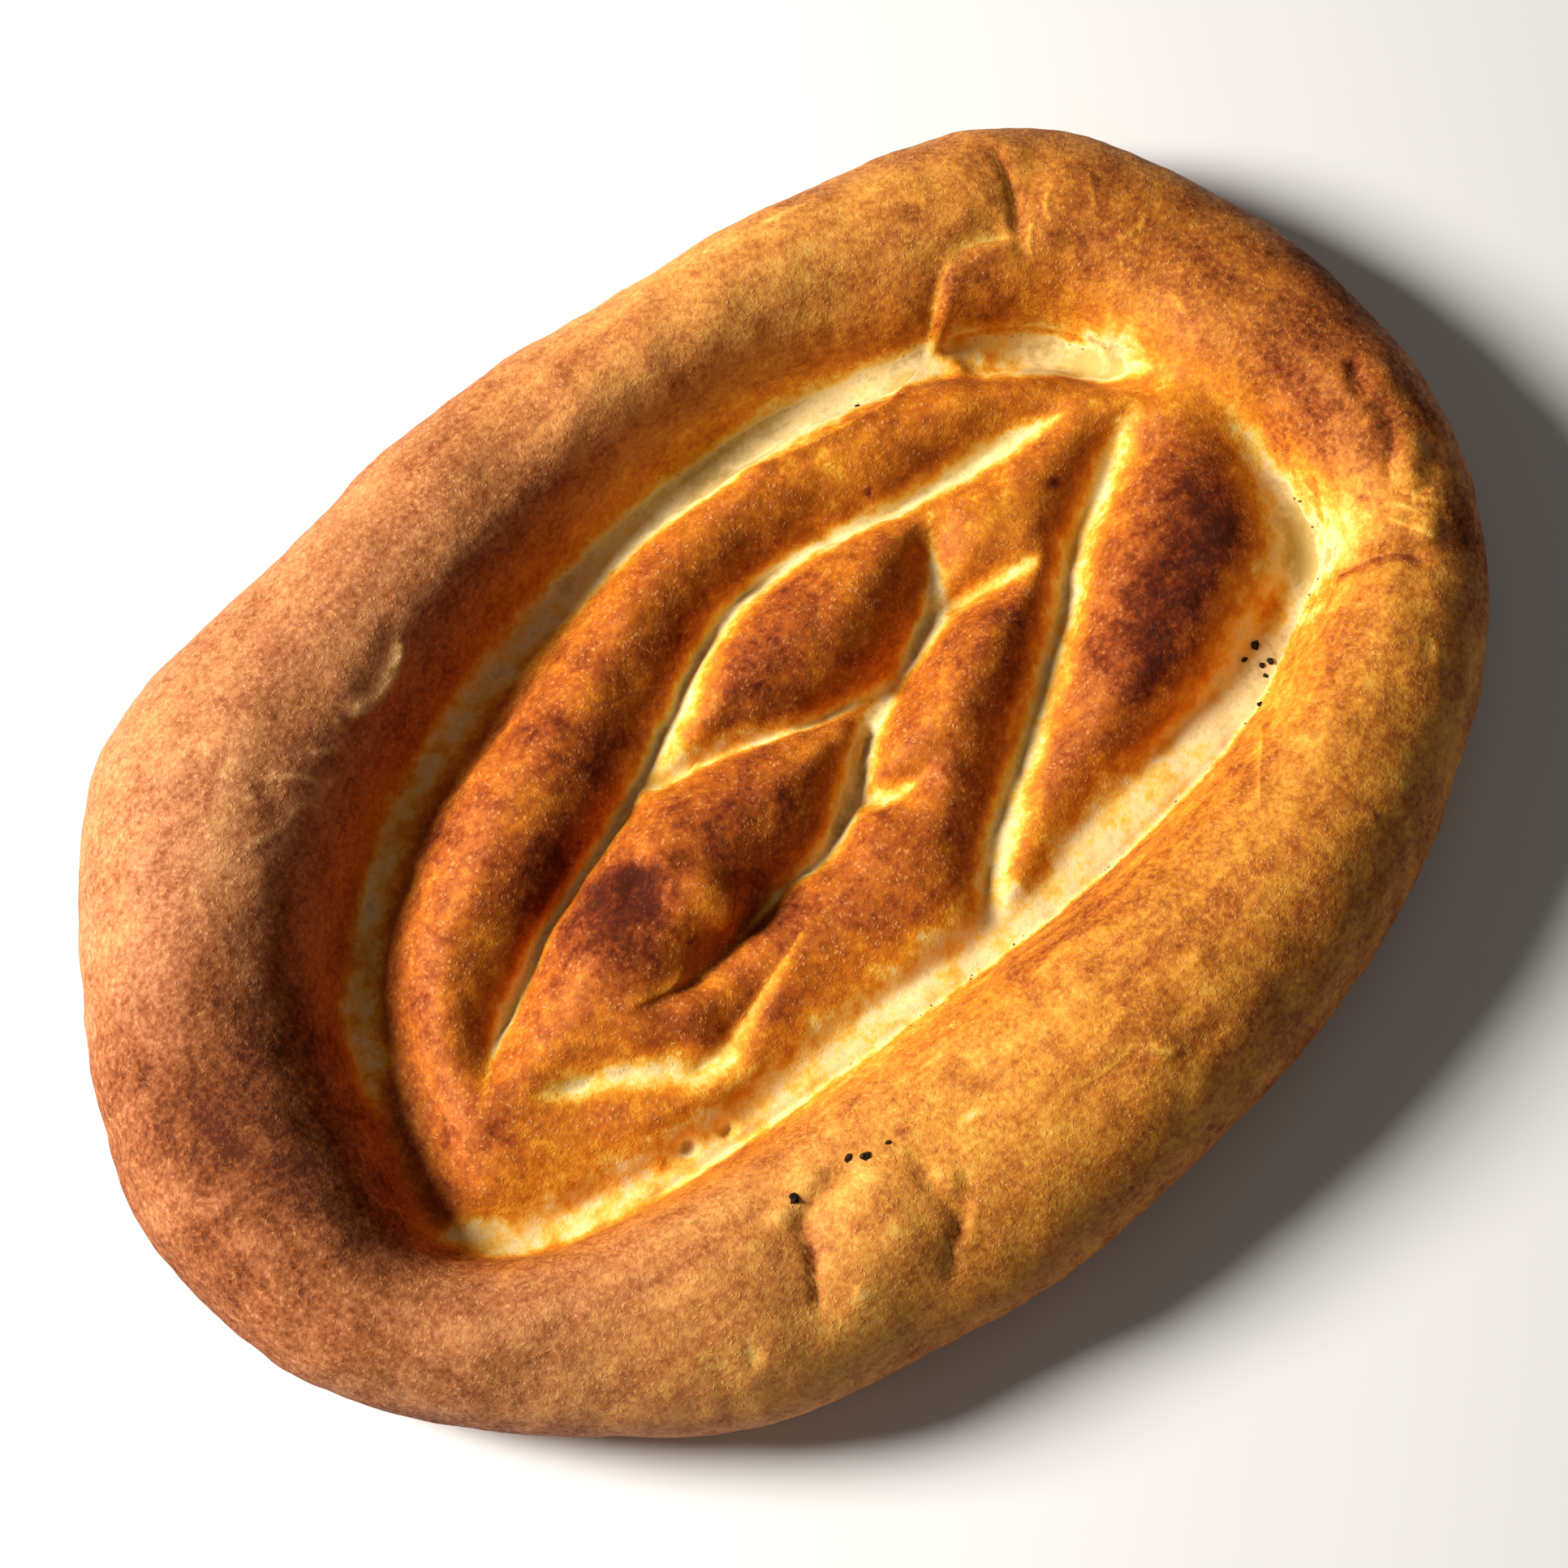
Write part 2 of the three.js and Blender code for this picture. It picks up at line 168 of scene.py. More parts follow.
# Cuts of the field, with the bake of their floor. Each point has x, y, how far the dough stays pale on
# the left and right of the line's run, the widths over which it browns after that, and how far the strips
# swell up beside the cut. A width below nothing lets the cut fade out.
cutLines = {
    "longCut": {
        "bake": 0.05,
        "line": [(104, 17, -4, -4, 5, 4, 0), (88, 23, 1, 0.8, 5, 4, 0.3), (63, 29, 0.8, 0.6, 5, 4, 0.3),
                 (32, 38, 0.2, 0.3, 6, 3, 0.4), (9, 38, 0.3, 0.2, 8, 3, 0.5), (-12, 30, 1, 0.2, 9, 3, 0.6),
                 (-38, 20, 0.2, 0.3, 3, 3, 0.8), (-64, 13, 0, 0.3, 2.5, 3, 0.8),
                 (-86, 3, 0, 0.4, 2.5, 4, 0.5), (-101, -8, -4, -4, 3, 5, 0)],
    },
    "upperCross": {
        "bake": 0.05,
        "line": [(63, 28, -2, -2, 4, 3, 0), (57, 19, -1.5, -1.5, 4, 3, 0), (46, 8, 2.6, 0.8, 5, 3, 0),
                 (36, 4, 1, 0.6, 4, 3, 0), (28, 2, 0.3, 0.3, 4, 3, 0)],
    },
    "lowerCross": {
        "bake": 0.14,
        "line": [(28, 2, 0.3, 0.3, 3, 4, 0), (7, 8, 0.1, 0.3, 2.5, 3, 1), (-9, 15, 0.3, 0.6, 2.5, 5, 0.9),
                 (-26, 21, 0.8, 1.8, 3, 9, 0.3)],
    },
    "middleCut": {
        "bake": 0.05,
        "line": [(28, 2, 0.5, 0.8, 4, 4, 0), (16, -3, 1.6, 1.2, 4, 4, 0), (3, -11, 1.8, 1.4, 3, 4, 0.3),
                 (-9, -16, 0.6, 0.8, 3, 4, 0.6), (-25, -16, -1, -1, 3, 4, 0.6),
                 (-42, -18, -3, -3, 3, 3, 0.5), (-56, -17, -3, -3, 3, 3, 0.5), (-67, -11, -3, -3, 3, 3, 0)],
    },
    "lozengeTwist": {
        "bake": 0.2,
        "line": [(3, -11, 0.5, 1, 4, 4, 0), (10, -17, 0.3, 0.6, 4, 4, 0.8), (21, -20, -4, -4, 4, 4, 0)],
    },
    "upperTwist": {
        "bake": 0.17,
        "line": [(46, 8, 0.3, 0.6, 4, 4, 0), (55, 4, 0, 0.5, 4, 4, 0.5), (68, 0, -0.5, 0.2, 4, 4, 0.6),
                 (76, -3, -4, -4, 4, 4, 0)],
    },
    "outerCut": {
        "bake": 0.11,
        "line": [(112, 10, -4, -4, 6, 6, 0), (101, 5, 1, 0.6, 6, 5, 0.2), (81, -3, 1, 0.6, 6.5, 5, 0.3),
                 (65, -14, 1, 0.6, 6.5, 7, 0.3), (46, -25, 1, 0.6, 6.5, 6, 0.3),
                 (31, -33, 1.4, 0.8, 7, 4, 0.2), (16, -42, 2.4, 1.6, 7, 4, 0), (6, -50, 2, 2, 6, 4, 0)],
    },
    "lowerCut": {
        "bake": 0.15,
        "line": [(-98, -11, -4, -4, 4, 4, 0), (-86, -16, 0.3, 0.3, 4, 5, 0.3), (-73, -24, 1, 1, 5, 6, 0.4),
                 (-60, -34, 1.4, 1.4, 5, 6, 0), (-51, -32, -0.4, 0, 3, 5, 0.1),
                 (-41, -29.5, -1.2, -0.8, 3, 5, 0.1), (-31, -27.5, -2, -1.5, 3, 5, 0.1),
                 (-20, -24, -4, -4, 4, 4, 0)],
    },
}
# Sharp bottom of a cut, the swell beside it, and the pale widths over which the bottom fades in
cutGroove = {"depth": 0.1, "width": 1.7, "swell": 6, "reach": 20, "fadeIn": (-2, 0)}

# Creases, tears, edges and wrinkles of the crust. groove: depth below the surface, or height of a ridge
# where it is below nothing. step: how far the left of the line's run stands over its right, fading over
# reach. tone: change of bake in the groove. edge: change of bake close to the line on its left and right,
# over edgeReach. fade: share of the line over which each end runs out.
creasePlain = {
    "groove": 0, "width": 1.2, "step": 0, "reach": 4, "tone": 0,
    "edge": (0, 0), "edgeReach": (1, 1), "fade": 0.15,
    "stepWidth": 0.7, "cutOff": 4,  # half width of a step, and the widths beyond which a line ends
}
thinWrinkle = {"groove": -0.3, "width": 0.65, "edge": (-0.3, -0.3), "edgeReach": (0.55, 0.55)}
crustLines = {
    # The darker band on the right of the flap's edge is partly browner crust, partly painted shade beside
    # the step
    "topFlap": {
        "line": [(91.1, 53.6), (93.4, 54.4), (97.1, 56.3), (100.3, 58.2), (103.3, 58.7), (108.6, 57.8),
                 (115, 55.2), (117.7, 54.8)],
        "groove": 0.5, "width": 1, "step": -2.2, "reach": 6, "edge": (-0.14, 0.12), "edgeReach": (1.4, 3),
    },
    # The darker band on the right of this crease, below its step, is painted shadow of the step
    "topCrease": {
        "line": [(117.2, 54.4), (121.2, 57.1), (125.9, 64.1), (129, 71), (130, 74)],
        "groove": 0.9, "width": 1.6, "step": 0.8, "tone": 0.08, "edge": (-0.14, 0.1), "edgeReach": (1, 2),
    },
    "topScratchL": {"line": [(77.5, 94.9), (82.3, 93.4), (90.2, 91.1)], **thinWrinkle},
    "topLoopA": {"line": [(141, 55), (137.3, 49.5), (134.8, 44.9)], **thinWrinkle},
    "topLoopB": {"line": [(134.8, 39.7), (135.1, 37), (139.7, 36.4), (143, 37.8)], **thinWrinkle},
    "topTwinA": {"line": [(130.5, 56.6), (127.1, 53.7), (125.4, 50.5)], **thinWrinkle},
    "topTwinB": {"line": [(123.7, 54.5), (119.1, 50.8), (116.6, 47.2)], **thinWrinkle},
    "topCurlB": {"line": [(133.7, 20.8), (132.5, 16.3), (133.2, 12.9)], **thinWrinkle},
    "pocketEdge": {
        "line": [(90.9, 53.3), (100.6, 47.6), (110, 41.5), (116, 34.4), (118.3, 27.7), (119, 23)],
        "groove": 0.8, "width": 1.2, "step": 2, "reach": 4, "edge": (-0.12, 0.05), "edgeReach": (1.5, 1),
    },
    "leftTear": {
        "line": [(-43.6, 78.6), (-47.4, 76.7), (-50.5, 75), (-55.3, 72.9), (-59.8, 72), (-63.3, 71.9),
                 (-66.9, 71.8)],
        "groove": -1.9, "width": 1.2, "edge": (-0.12, -0.4), "edgeReach": (0.8, 2.6), "fade": 0.2,
    },
    "leftShoulder": {
        "line": [(34.2, 87.2), (20.7, 87.2), (6.5, 86.4), (-21.6, 82.5), (-44.9, 79.2), (-60.1, 75),
                 (-76.9, 68.6), (-89.2, 62.2)],
        "groove": -1.7, "width": 7, "fade": 0.25,
    },
    # The darker groove and its right side are partly painted shade under the fold's bulge
    "rightFold": {
        "line": [(113.5, -47), (114.6, -48), (116.2, -50.8), (119.7, -53.4), (123.4, -56.8),
                 (126.5, -61), (129, -65)],
        "groove": 1.8, "width": 2, "step": 1.2, "tone": 0.16, "fade": 0.25,
        "edge": (-0.1, 0.14), "edgeReach": (1.4, 2.4),
    },
    "lowRidge": {
        "line": [(-76.5, -69.5), (-72.4, -68.3), (-68.8, -67.9), (-64.4, -67.5), (-60, -67)],
        "groove": -1, "width": 2.6, "tone": -0.14,
    },
    "lowValley": {
        "line": [(-53.9, -71.4), (-58, -70.9), (-63.3, -71.1), (-67.7, -71.5), (-71.2, -73.3),
                 (-73.8, -76.6)],
        "groove": 1.4, "width": 1.9, "tone": 0.04,
    },
    # The darker bake inside this slot is painted shade
    "lowSlot": {
        "line": [(-73.2, -75.8), (-73.9, -77.6), (-75, -79.3), (-76.9, -82)],
        "groove": 1.4, "width": 1.3, "tone": 0.12, "step": -0.8, "reach": 3,
    },
    "lowSeam": {
        "line": [(-76.5, -81.5), (-77.7, -82.9), (-79.4, -85.5), (-81.5, -88)],
        "groove": 1, "width": 1,
    },
    "domeValley": {
        "line": [(-46.8, -79), (-46.5, -82.6), (-46.8, -85.8), (-47.4, -90.4), (-48.1, -93.6)],
        "groove": 0.4, "width": 1.5, "tone": 0.02,
    },
    # The darker bake inside this slot is painted shade
    "domeSlot": {
        "line": [(-47.8, -92.6), (-48.1, -94.1), (-50.2, -95.4), (-53, -96.6)],
        "groove": 1.2, "width": 1.1, "tone": 0.1, "step": -0.6, "reach": 3,
    },
    "domeSeam": {
        "line": [(-52.4, -96.4), (-53.6, -97.1), (-55.2, -99.3), (-58, -100.6)],
        "groove": 0.8, "width": 0.9,
    },
    "domeBranch": {
        "line": [(-40.8, -90.1), (-43.5, -91.4), (-46.5, -92.6)],
        "groove": 0.8, "width": 1.1, "tone": 0.04,
    },
    # The darker groove round the bubble is painted crescent shadow under its edge
    "bubbleEdge": {
        "line": [(148.5, -19), (147.3, -20.6), (145.5, -22.5), (144.2, -25.5), (144, -29)],
        "groove": 1.6, "width": 1.3, "tone": 0.2, "edge": (0.08, -0.08), "edgeReach": (2.5, 1),
    },
    "bubbleFoot": {
        "line": [(144, -28.5), (144.4, -33.5), (142.8, -38)],
        "groove": 1, "width": 2, "tone": 0.16,
    },
    "lumpEdge": {
        "line": [(143.5, -37.6), (139.2, -40.3), (135.6, -42.8), (132.9, -45.8)],
        "groove": 0.9, "width": 1.2, "tone": 0.08, "edge": (-0.12, 0), "edgeReach": (1.2, 1), "fade": 0.25,
    },
    "lumpFoot": {
        "line": [(132.4, -46), (134.7, -50.4), (138.5, -52.4)],
        "groove": 0.9, "width": 1, "edge": (-0.18, 0.1), "edgeReach": (0.8, 1.5), "fade": 0.25,
    },
    "fibreA": {"line": [(130.7, -49.2), (132.3, -52.7), (136.4, -56.9)], **thinWrinkle},
    "fibreB": {"line": [(133.5, -50.6), (136.7, -53.9), (139.4, -57.7)], **thinWrinkle},
    "fibreC": {"line": [(127, -50), (129.5, -55.5), (131.8, -61)], **thinWrinkle},
    "footCrack": {
        "line": [(127.3, -29), (124.8, -33.7), (122.9, -37), (121.9, -41)],
        "groove": 0.8, "width": 0.8, "edge": (0.3, 0.3), "edgeReach": (0.5, 0.5),
    },
    "rightCrack": {
        "line": [(113, -75), (111, -77), (108, -79)],
        "groove": 0.5, "width": 0.9, "edge": (-0.2, -0.2), "edgeReach": (0.8, 0.8),
    },
    "leftWrinkleA": {
        "line": [(-89.6, 71), (-86.4, 70.9), (-81.3, 67.3), (-79.4, 64.9), (-75.4, 64.7)],
        **thinWrinkle,
    },
    "leftWrinkleB": {"line": [(-67.3, 73.9), (-69.7, 70.7), (-72.5, 67.5)], **thinWrinkle},
    "leftWrinkleC": {"line": [(-77.8, 71.1), (-74.3, 69.2), (-70.4, 68)], **thinWrinkle},
    "leftWrinkleF": {
        "line": [(-102.7, 63.2), (-97.2, 62.6), (-92.5, 62), (-88.6, 63.3), (-82.3, 63.8)],
        **thinWrinkle,
    },
    "leftWrinkleG": {"line": [(-79.4, 64.9), (-82.1, 62.8), (-84.7, 61.5)], **thinWrinkle},
    "rightSeam": {
        "line": [(-15.9, -90.8), (-10.2, -92.6), (-5.5, -93.7), (-0.4, -94), (2.7, -93.7)],
        "groove": 0.6, "width": 1.1, "step": 0.7, "edge": (-0.24, 0.06), "edgeReach": (0.9, 2),
    },
    "rightFork": {"line": [(2.7, -93.7), (4.2, -95.7), (5.8, -99), (9.1, -99.1)], **thinWrinkle},
    "rightScratch": {
        "line": [(10, -101.8), (14.5, -102.1), (20.1, -102.5)],
        "groove": 0.7, "width": 1, "tone": 0.12,
    },
    "dashA": {"line": [(1.9, -88), (3.7, -87.6), (6, -87.3)], **thinWrinkle},
    "dashB": {"line": [(3.6, -101.3), (5.2, -99.9), (7, -98.8)], **thinWrinkle},
    "dashC": {"line": [(71.9, -96.2), (73.1, -94.5), (73.4, -92.7)], **thinWrinkle},
    "dashD": {"line": [(83.1, -94.6), (84.6, -92.6), (86.5, -91.4)], **thinWrinkle},
    "dashE": {"line": [(40.7, -89.2), (43.7, -88.6), (46.9, -88.8)], **thinWrinkle},
    "dashF": {"line": [(20.9, -90.3), (23.8, -89.4), (26.3, -88.2)], **thinWrinkle},
    "dashG": {"line": [(-35.7, -81.1), (-31.6, -80.4), (-26.9, -80.4)], **thinWrinkle},
    "flakeEdge": {
        "line": [(76.8, -62.4), (70.9, -67), (63.8, -72), (58.4, -76.5)],
        "groove": -0.4, "width": 1, "edge": (0.06, -0.2), "edgeReach": (3, 1),
    },
    "wallLip": {
        "line": [(-4.5, -69.5), (2, -68.2), (7.7, -67.8), (14.1, -69.7), (18.4, -72.7)],
        "groove": -0.6, "width": 1.8, "edge": (0.06, -0.12), "edgeReach": (2.5, 2.5),
    },
    "leftWrinkleD": {"line": [(-89, 79), (-91.7, 78), (-94.6, 77)], **thinWrinkle},
    "leftWrinkleE": {"line": [(-91.8, 74), (-92.7, 70.8), (-93, 68)], **thinWrinkle},
    # The pale lip is partly torn crust, partly a painted highlight on the lozenge's brow
    "lozengeLip": {
        "line": [(-66, -12), (-61, -14.6), (-55, -16), (-48.4, -15.6)],
        "groove": -0.9, "width": 1.4, "edge": (-0.36, -0.36), "edgeReach": (1.5, 1.2), "fade": 0.25,
    },
    # The paler side of this edge is painted sheen on the lozenge's facet
    "facetSheenEdge": {
        "line": [(-31.2, -7.7), (-33.8, -10.2), (-37, -12.2), (-40, -13.4)],
        "groove": -0.9, "width": 1.6, "edge": (0.08, -0.13), "edgeReach": (2, 5.5), "fade": 0.3,
    },
    "lozengeCrest": {
        "line": [(-38, 7), (-38.7, 4.4), (-41.4, -2.9), (-51.2, -10.3)],
        "groove": -0.8, "width": 3, "fade": 0.25,
    },
    "pocketBridge": {
        "line": [(90.6, 54), (91.4, 52.4), (92.1, 49.8), (92.6, 46), (91, 42)],
        "groove": -1.4, "width": 2.2, "tone": 0.16, "fade": 0.2,
    },
    "flapTorn": {
        "line": [(101, 58.6), (104.8, 59.8), (109.2, 58.5), (113.7, 56.5), (117, 54.4)],
        "groove": -0.3, "width": 0.8, "edge": (-0.3, -0.05), "edgeReach": (1.5, 0.5),
    },
    "tornStrip": {
        "line": [(88, 51.5), (80.6, 50), (72.5, 47.3), (62, 49), (50, 52.3), (39, 56.8), (31, 62)],
        "groove": -0.9, "width": 1.4, "edge": (0.06, -0.15), "edgeReach": (2, 3),
    },
    "footCrease": {
        "line": [(105, -49.6), (93, -53.6), (83, -57.4), (68, -60), (52, -60.6), (27, -60.6),
                 (3.5, -59), (-22, -55.4), (-47.6, -51.8), (-68, -48.4), (-84, -45.6), (-99, -41.8),
                 (-112, -36)],
        "groove": 0.9, "width": 1, "fade": 0.05,
    },
}

# Round puffs and dents of the crust: x, y, radius, lift and the change of bake
crustPuffs = {
    "lowDome": (-57, -84, 18, 1.2, 0),
    "crossMeeting": (48, 9, 6, 1.8, -0.05),
    "twistMeeting": (11.5, -3.2, 6, 2, -0.06),
    "domeBump": (-44, -86, 4, 0.8, -0.05),
    "rightBubble": (149.5, -28, 7, 1.4, 0.05),
    "lumpA": (141.6, -43.6, 5.5, 1.5, -0.04),
    "lumpB": (136.8, -47.6, 5, 1.2, -0.06),
    "lumpC": (131.7, -58, 5, 1.1, -0.06),
    "foldSpot": (113.6, -51.6, 2.4, 0.6, 0.26),
    "palePit": (-96.6, -84.8, 3.2, -0.8, -0.3),
    "footPit": (-66.6, -45.2, 2.2, -1.6, 0.05),
    "wallPit": (-75.2, -42.2, 3, -1.2, -0.2),
    "brownDot": (-81.7, -40.7, 2.6, 0.5, 0.3),
    # crossPit's darker bake is painted shade in the deep pit where the cuts cross
    "crossPit": (30, 1, 4, -1.5, 0.1),
    # facetCrest's paler tone is painted sheen on the facet
    "facetCrest": (-36.5, -8.5, 9, 3, -0.05),
    "lozengeHollow": (-46.6, 3.5, 8.5, -2.6, 0.04),
    "slotKnob": (-45, -94.8, 2, 0.6, -0.2),
    "slotBump": (-48.6, -97.6, 2.6, 0.7, -0.1),
    "smallKnob": (-72.6, -90.4, 2.2, 0.5, -0.15),
    "redSpot": (127.7, -42.6, 1.8, 0.3, 0.3),
    "leftScab": (-78, 81.6, 2.2, 0.4, 0.3),
}

# Where the oven browned the tops of the strips more or less, with darker spots on some shaded flanks that
# are partly painted shade: x, y, spread and the change of bake
crownSpots = [
    # strip beside the right rim, its darker right half partly burnt and partly painted shade
    (103, -23, 12, 0.3), (88, -27, 12, 0.24), (71, -35, 12, 0.3), (114, -24, 8, 0.14), (105, -8, 9, 0.1),
    (72, -25, 9, 0.08),
    # lower lozenge
    (-47.5, 4.5, 6.5, 0.56), (-58, 4, 10, 0.16), (-56, -4, 9, 0.16), (-26, 1, 12, 0.16), (-12, 2, 10, 0.12),
    # twisted strip
    (56, -7, 8, 0.12), (40, -10, 11, 0.1), (19, -31, 9, 0.06), (1, -24, 8, 0.1), (-29, -22, 9, 0.14),
    # long strip, its darker right flank partly painted shade
    (-57, 21, 9, 0.24), (-30, 30, 9, 0.17), (0, 42, 8, 0.08), (83, 34, 10, -0.12), (52, 42, 10, -0.2),
    (-68, 44, 11, 0.12), (-38, 41, 9, 0.08), (-28, 54, 11, 0.08), (-94, 22, 12, 0.08),
    # upper lozenges
    (4, 23, 10, 0.18), (21, 25, 10, 0.16), (70, 11, 12, -0.12), (57, 12, 7, -0.1),
    # lower and upper ends of the field
    (-94, -27, 14, -0.15), (-60, -24, 9, 0.08), (-76, -16, 6, -0.04), (-10, -37, 10, 0.12),
    (-42, -34, 6, 0.08), (110, 18, 10, -0.15), (107, 8, 9, -0.1), (-88, 12, 10, -0.05),
    (-102, -10, 9, 0.12),
]

# The same over the whole crust
crustSpots = [
    # browned patches by the trough
    (39, -42, 8, 0.1), (19, -50, 5, 0.2), (54, -47, 7, 0.1), (100, -43.6, 5, 0.22),
    # lower left rim
    (-129, 31, 20, 0.1), (-137, -3, 22, 0.14), (-146, 30, 18, 0.12),
    # rim's end
    (158, -15, 16, 0.18), (150, 20, 16, 0.12), (165, 0, 14, 0.12), (130, -20, 9, 0.1), (138, -36, 7, 0.1),
    (127, 43, 11, 0.12),
    # left rim
    (-88, 84.2, 5, -0.12), (-58, 66, 7, 0.08),
    # pale saddles
    (121, 24, 5, -0.28), (123, 2, 10, -0.12), (124.5, -40, 7, -0.26), (120, -46, 5, -0.14),
    (115, -49, 6, -0.26), (78, -70, 7, -0.12), (86, -62, 6, -0.1),
    # browner patches of the rim
    (140, -61, 6, 0.16), (138, -66, 5, 0.14), (152, -40, 6, 0.16), (40, 90, 9, 0.12), (141, 52, 8, 0.12),
    (141, -5, 9, 0.08), (100, 39, 8, 0.16), (95, 44, 5, 0.06), (105, 51, 7, 0.05),
    # red marks
    (64, -68.5, 4, 0.14), (61.5, -71.5, 3, 0.1), (44, -67.5, 4, 0.08), (31, -66, 4, 0.06),
    (-2.5, -67.5, 3, 0.16), (-26, -76.5, 3, 0.13), (-27.5, -72, 2.5, 0.12), (-46.6, -62.6, 2.5, 0.12),
    # dark dots
    (85.3, 8.8, 1.3, 0.45), (54.9, 36.3, 1, 0.4),
    # pale patches
    (32, 62, 6, -0.1), (-55.8, -74.4, 3.5, -0.16), (-62.5, -75, 3.5, -0.16),
]

# Bake of the pressed field's crowns, and of the rim by direction in degrees from +X
bakeLevels = {
    "crown": 0.62,
    # Browner on the left, 140 to 225 degrees, where the inner wall lies in shade: partly painted shade
    "rimFoot": [(0, 0.3), (20, 0.3), (45, 0.4), (75, 0.42), (100, 0.46), (120, 0.45), (140, 0.48),
                (165, 0.56), (190, 0.6), (225, 0.5), (250, 0.45), (275, 0.48), (300, 0.48), (320, 0.38),
                (340, 0.3)],
    "rimTop": [(0, 0.62), (30, 0.54), (62, 0.46), (90, 0.62), (120, 0.66), (145, 0.63), (165, 0.74),
               (185, 0.74), (205, 0.6), (226, 0.49), (250, 0.49), (270, 0.54), (290, 0.56), (312, 0.55),
               (332, 0.56), (348, 0.61)],
    "rimHeights": (17, 34),  # between which the foot's bake turns to the top's
    "outerWall": (30, 12), "outerBake": 0.12,  # browner down the outer wall, between these heights
    "outerOval": (170, 119), "outerFrom": 0.8,  # half sizes of the loaf, and the share beyond which it lies
    "base": 0.66,
    "palestRim": 0.1,  # the rim is nowhere paler
    # The pinker, paler tint of the rim's left side is painted sheen of the key light, which falls from that
    # side
    "sheenReach": (0, 10),  # distance from the foot over which the rim turns pinker
    "sheenShare": [(20, 0), (70, 0.45), (110, 0.9), (140, 1), (190, 1), (205, 0.75), (222, 0.35), (242, 0.1),
              (260, 0)],
    # share of pores and streaks along the foot
    "pores": [(0, 0), (10, 0.6), (60, 0.6), (100, 0.3), (200, 0.1), (230, 0.7), (280, 1), (345, 1)],
}


def copyNode(piece):
    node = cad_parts[piece["node"]]
    made = bpy.data.objects.new(piece["name"], node.data.copy())
    bpy.context.scene.collection.objects.link(made)
    made.data.name = piece["name"]
    made.data.materials.clear()
    pickOnly(made)
    bpy.ops.mesh.customdata_custom_splitnormals_clear()
    bpy.ops.object.mode_set(mode="EDIT")
    bpy.ops.mesh.select_all(action="SELECT")
    bpy.ops.mesh.remove_doubles(threshold=piece["mergeGap"])
    faceAngle, shapeAngle = (math.radians(angle) for angle in piece["quadAngle"])
    bpy.ops.mesh.tris_convert_to_quads(face_threshold=faceAngle, shape_threshold=shapeAngle)
    bpy.ops.object.mode_set(mode="OBJECT")
    return made


# Heights round a spot of the top, each drawn to the mean of those about it
def evenCorner(mesh, x, y, reach, span):
    points = readVectors(mesh, "co")
    away = np.hypot(points[:, 0] / mm - x, points[:, 1] / mm - y)
    near = np.flatnonzero((away < reach + 3 * span) & (readVectors(mesh, "normal")[:, 2] > 0))
    plan = points[near, :2] / mm
    weights = np.exp(-((plan[:, None] - plan[None]) ** 2).sum(2) / span ** 2)
    mean = weights @ points[near, 2] / weights.sum(1)
    points[near, 2] += (mean - points[near, 2]) * ease(-reach, -0.5 * reach, -away[near])
    writePoints(mesh, points)


def pushSwells(made, piece):
    heights = readVectors(made.data, "co")[:, 2] / mm
    weights = ease(*piece["reliefFrom"], heights)
    group = made.vertex_groups.new(name="risen")
    for index, weight in enumerate(weights):
        group.add([index], float(weight), "REPLACE")
    for name, size, height in piece["swells"]:
        texture = bpy.data.textures.new(name, "CLOUDS")
        texture.noise_scale = size * mm
        texture.noise_depth = 1
        applyModifier(made, "DISPLACE", name, texture=texture, texture_coords="LOCAL", direction="NORMAL",
                      vertex_group="risen", mid_level=0.5, strength=height * mm)
    made.vertex_groups.clear()


# Lift along the normal and change of bake from one crease, with its ends run out, and its crisp edge:
# the distance from the line, below nothing on its right, with the changes of bake on both sides
def creaseAt(crease, plan):
    line = smoothLine(crease["line"])
    reach = crease["cutOff"] * max(crease["width"], crease["reach"], *crease["edgeReach"])
    away, side, share = measureLine(line, plan, reach)
    away = np.minimum(away, reach)
    fade = ease(0, crease["fade"], share) * ease(0, crease["fade"], 1 - share) * (away < reach)
    groove = np.exp(-(away / crease["width"]) ** 2) * fade
    step = 0.5 * np.tanh(side * away / crease["stepWidth"]) * np.exp(-away / crease["reach"]) * fade
    edges = [tone * np.exp(-(away / width) ** 2) * fade
             for tone, width in zip(crease["edge"], crease["edgeReach"])]
    return crease["step"] * step - crease["groove"] * groove, crease["tone"] * groove, side * away, edges


def puffAt(puff, plan):
    x, y, radius, lift, tone = puff
    share = np.clip(1 - ((plan[:, 0] - x) ** 2 + (plan[:, 1] - y) ** 2) / radius ** 2, 0, 1) ** 2
    return lift * share, tone * share


def cutLiftAt(cut, plan):
    line = smoothLine(cut["line"])
    away, _, share = measureLine(line[:, :2], plan, cutGroove["reach"])
    left, right, _, _, swell = alongLine(line[:, 2:], share)
    sharp = np.exp(-(away / cutGroove["width"]) ** 2)
    depth = cutGroove["depth"] * ease(*cutGroove["fadeIn"], np.maximum(left, right))
    return swell * (np.exp(-(away / cutGroove["swell"]) ** 2) - sharp) - depth * sharp


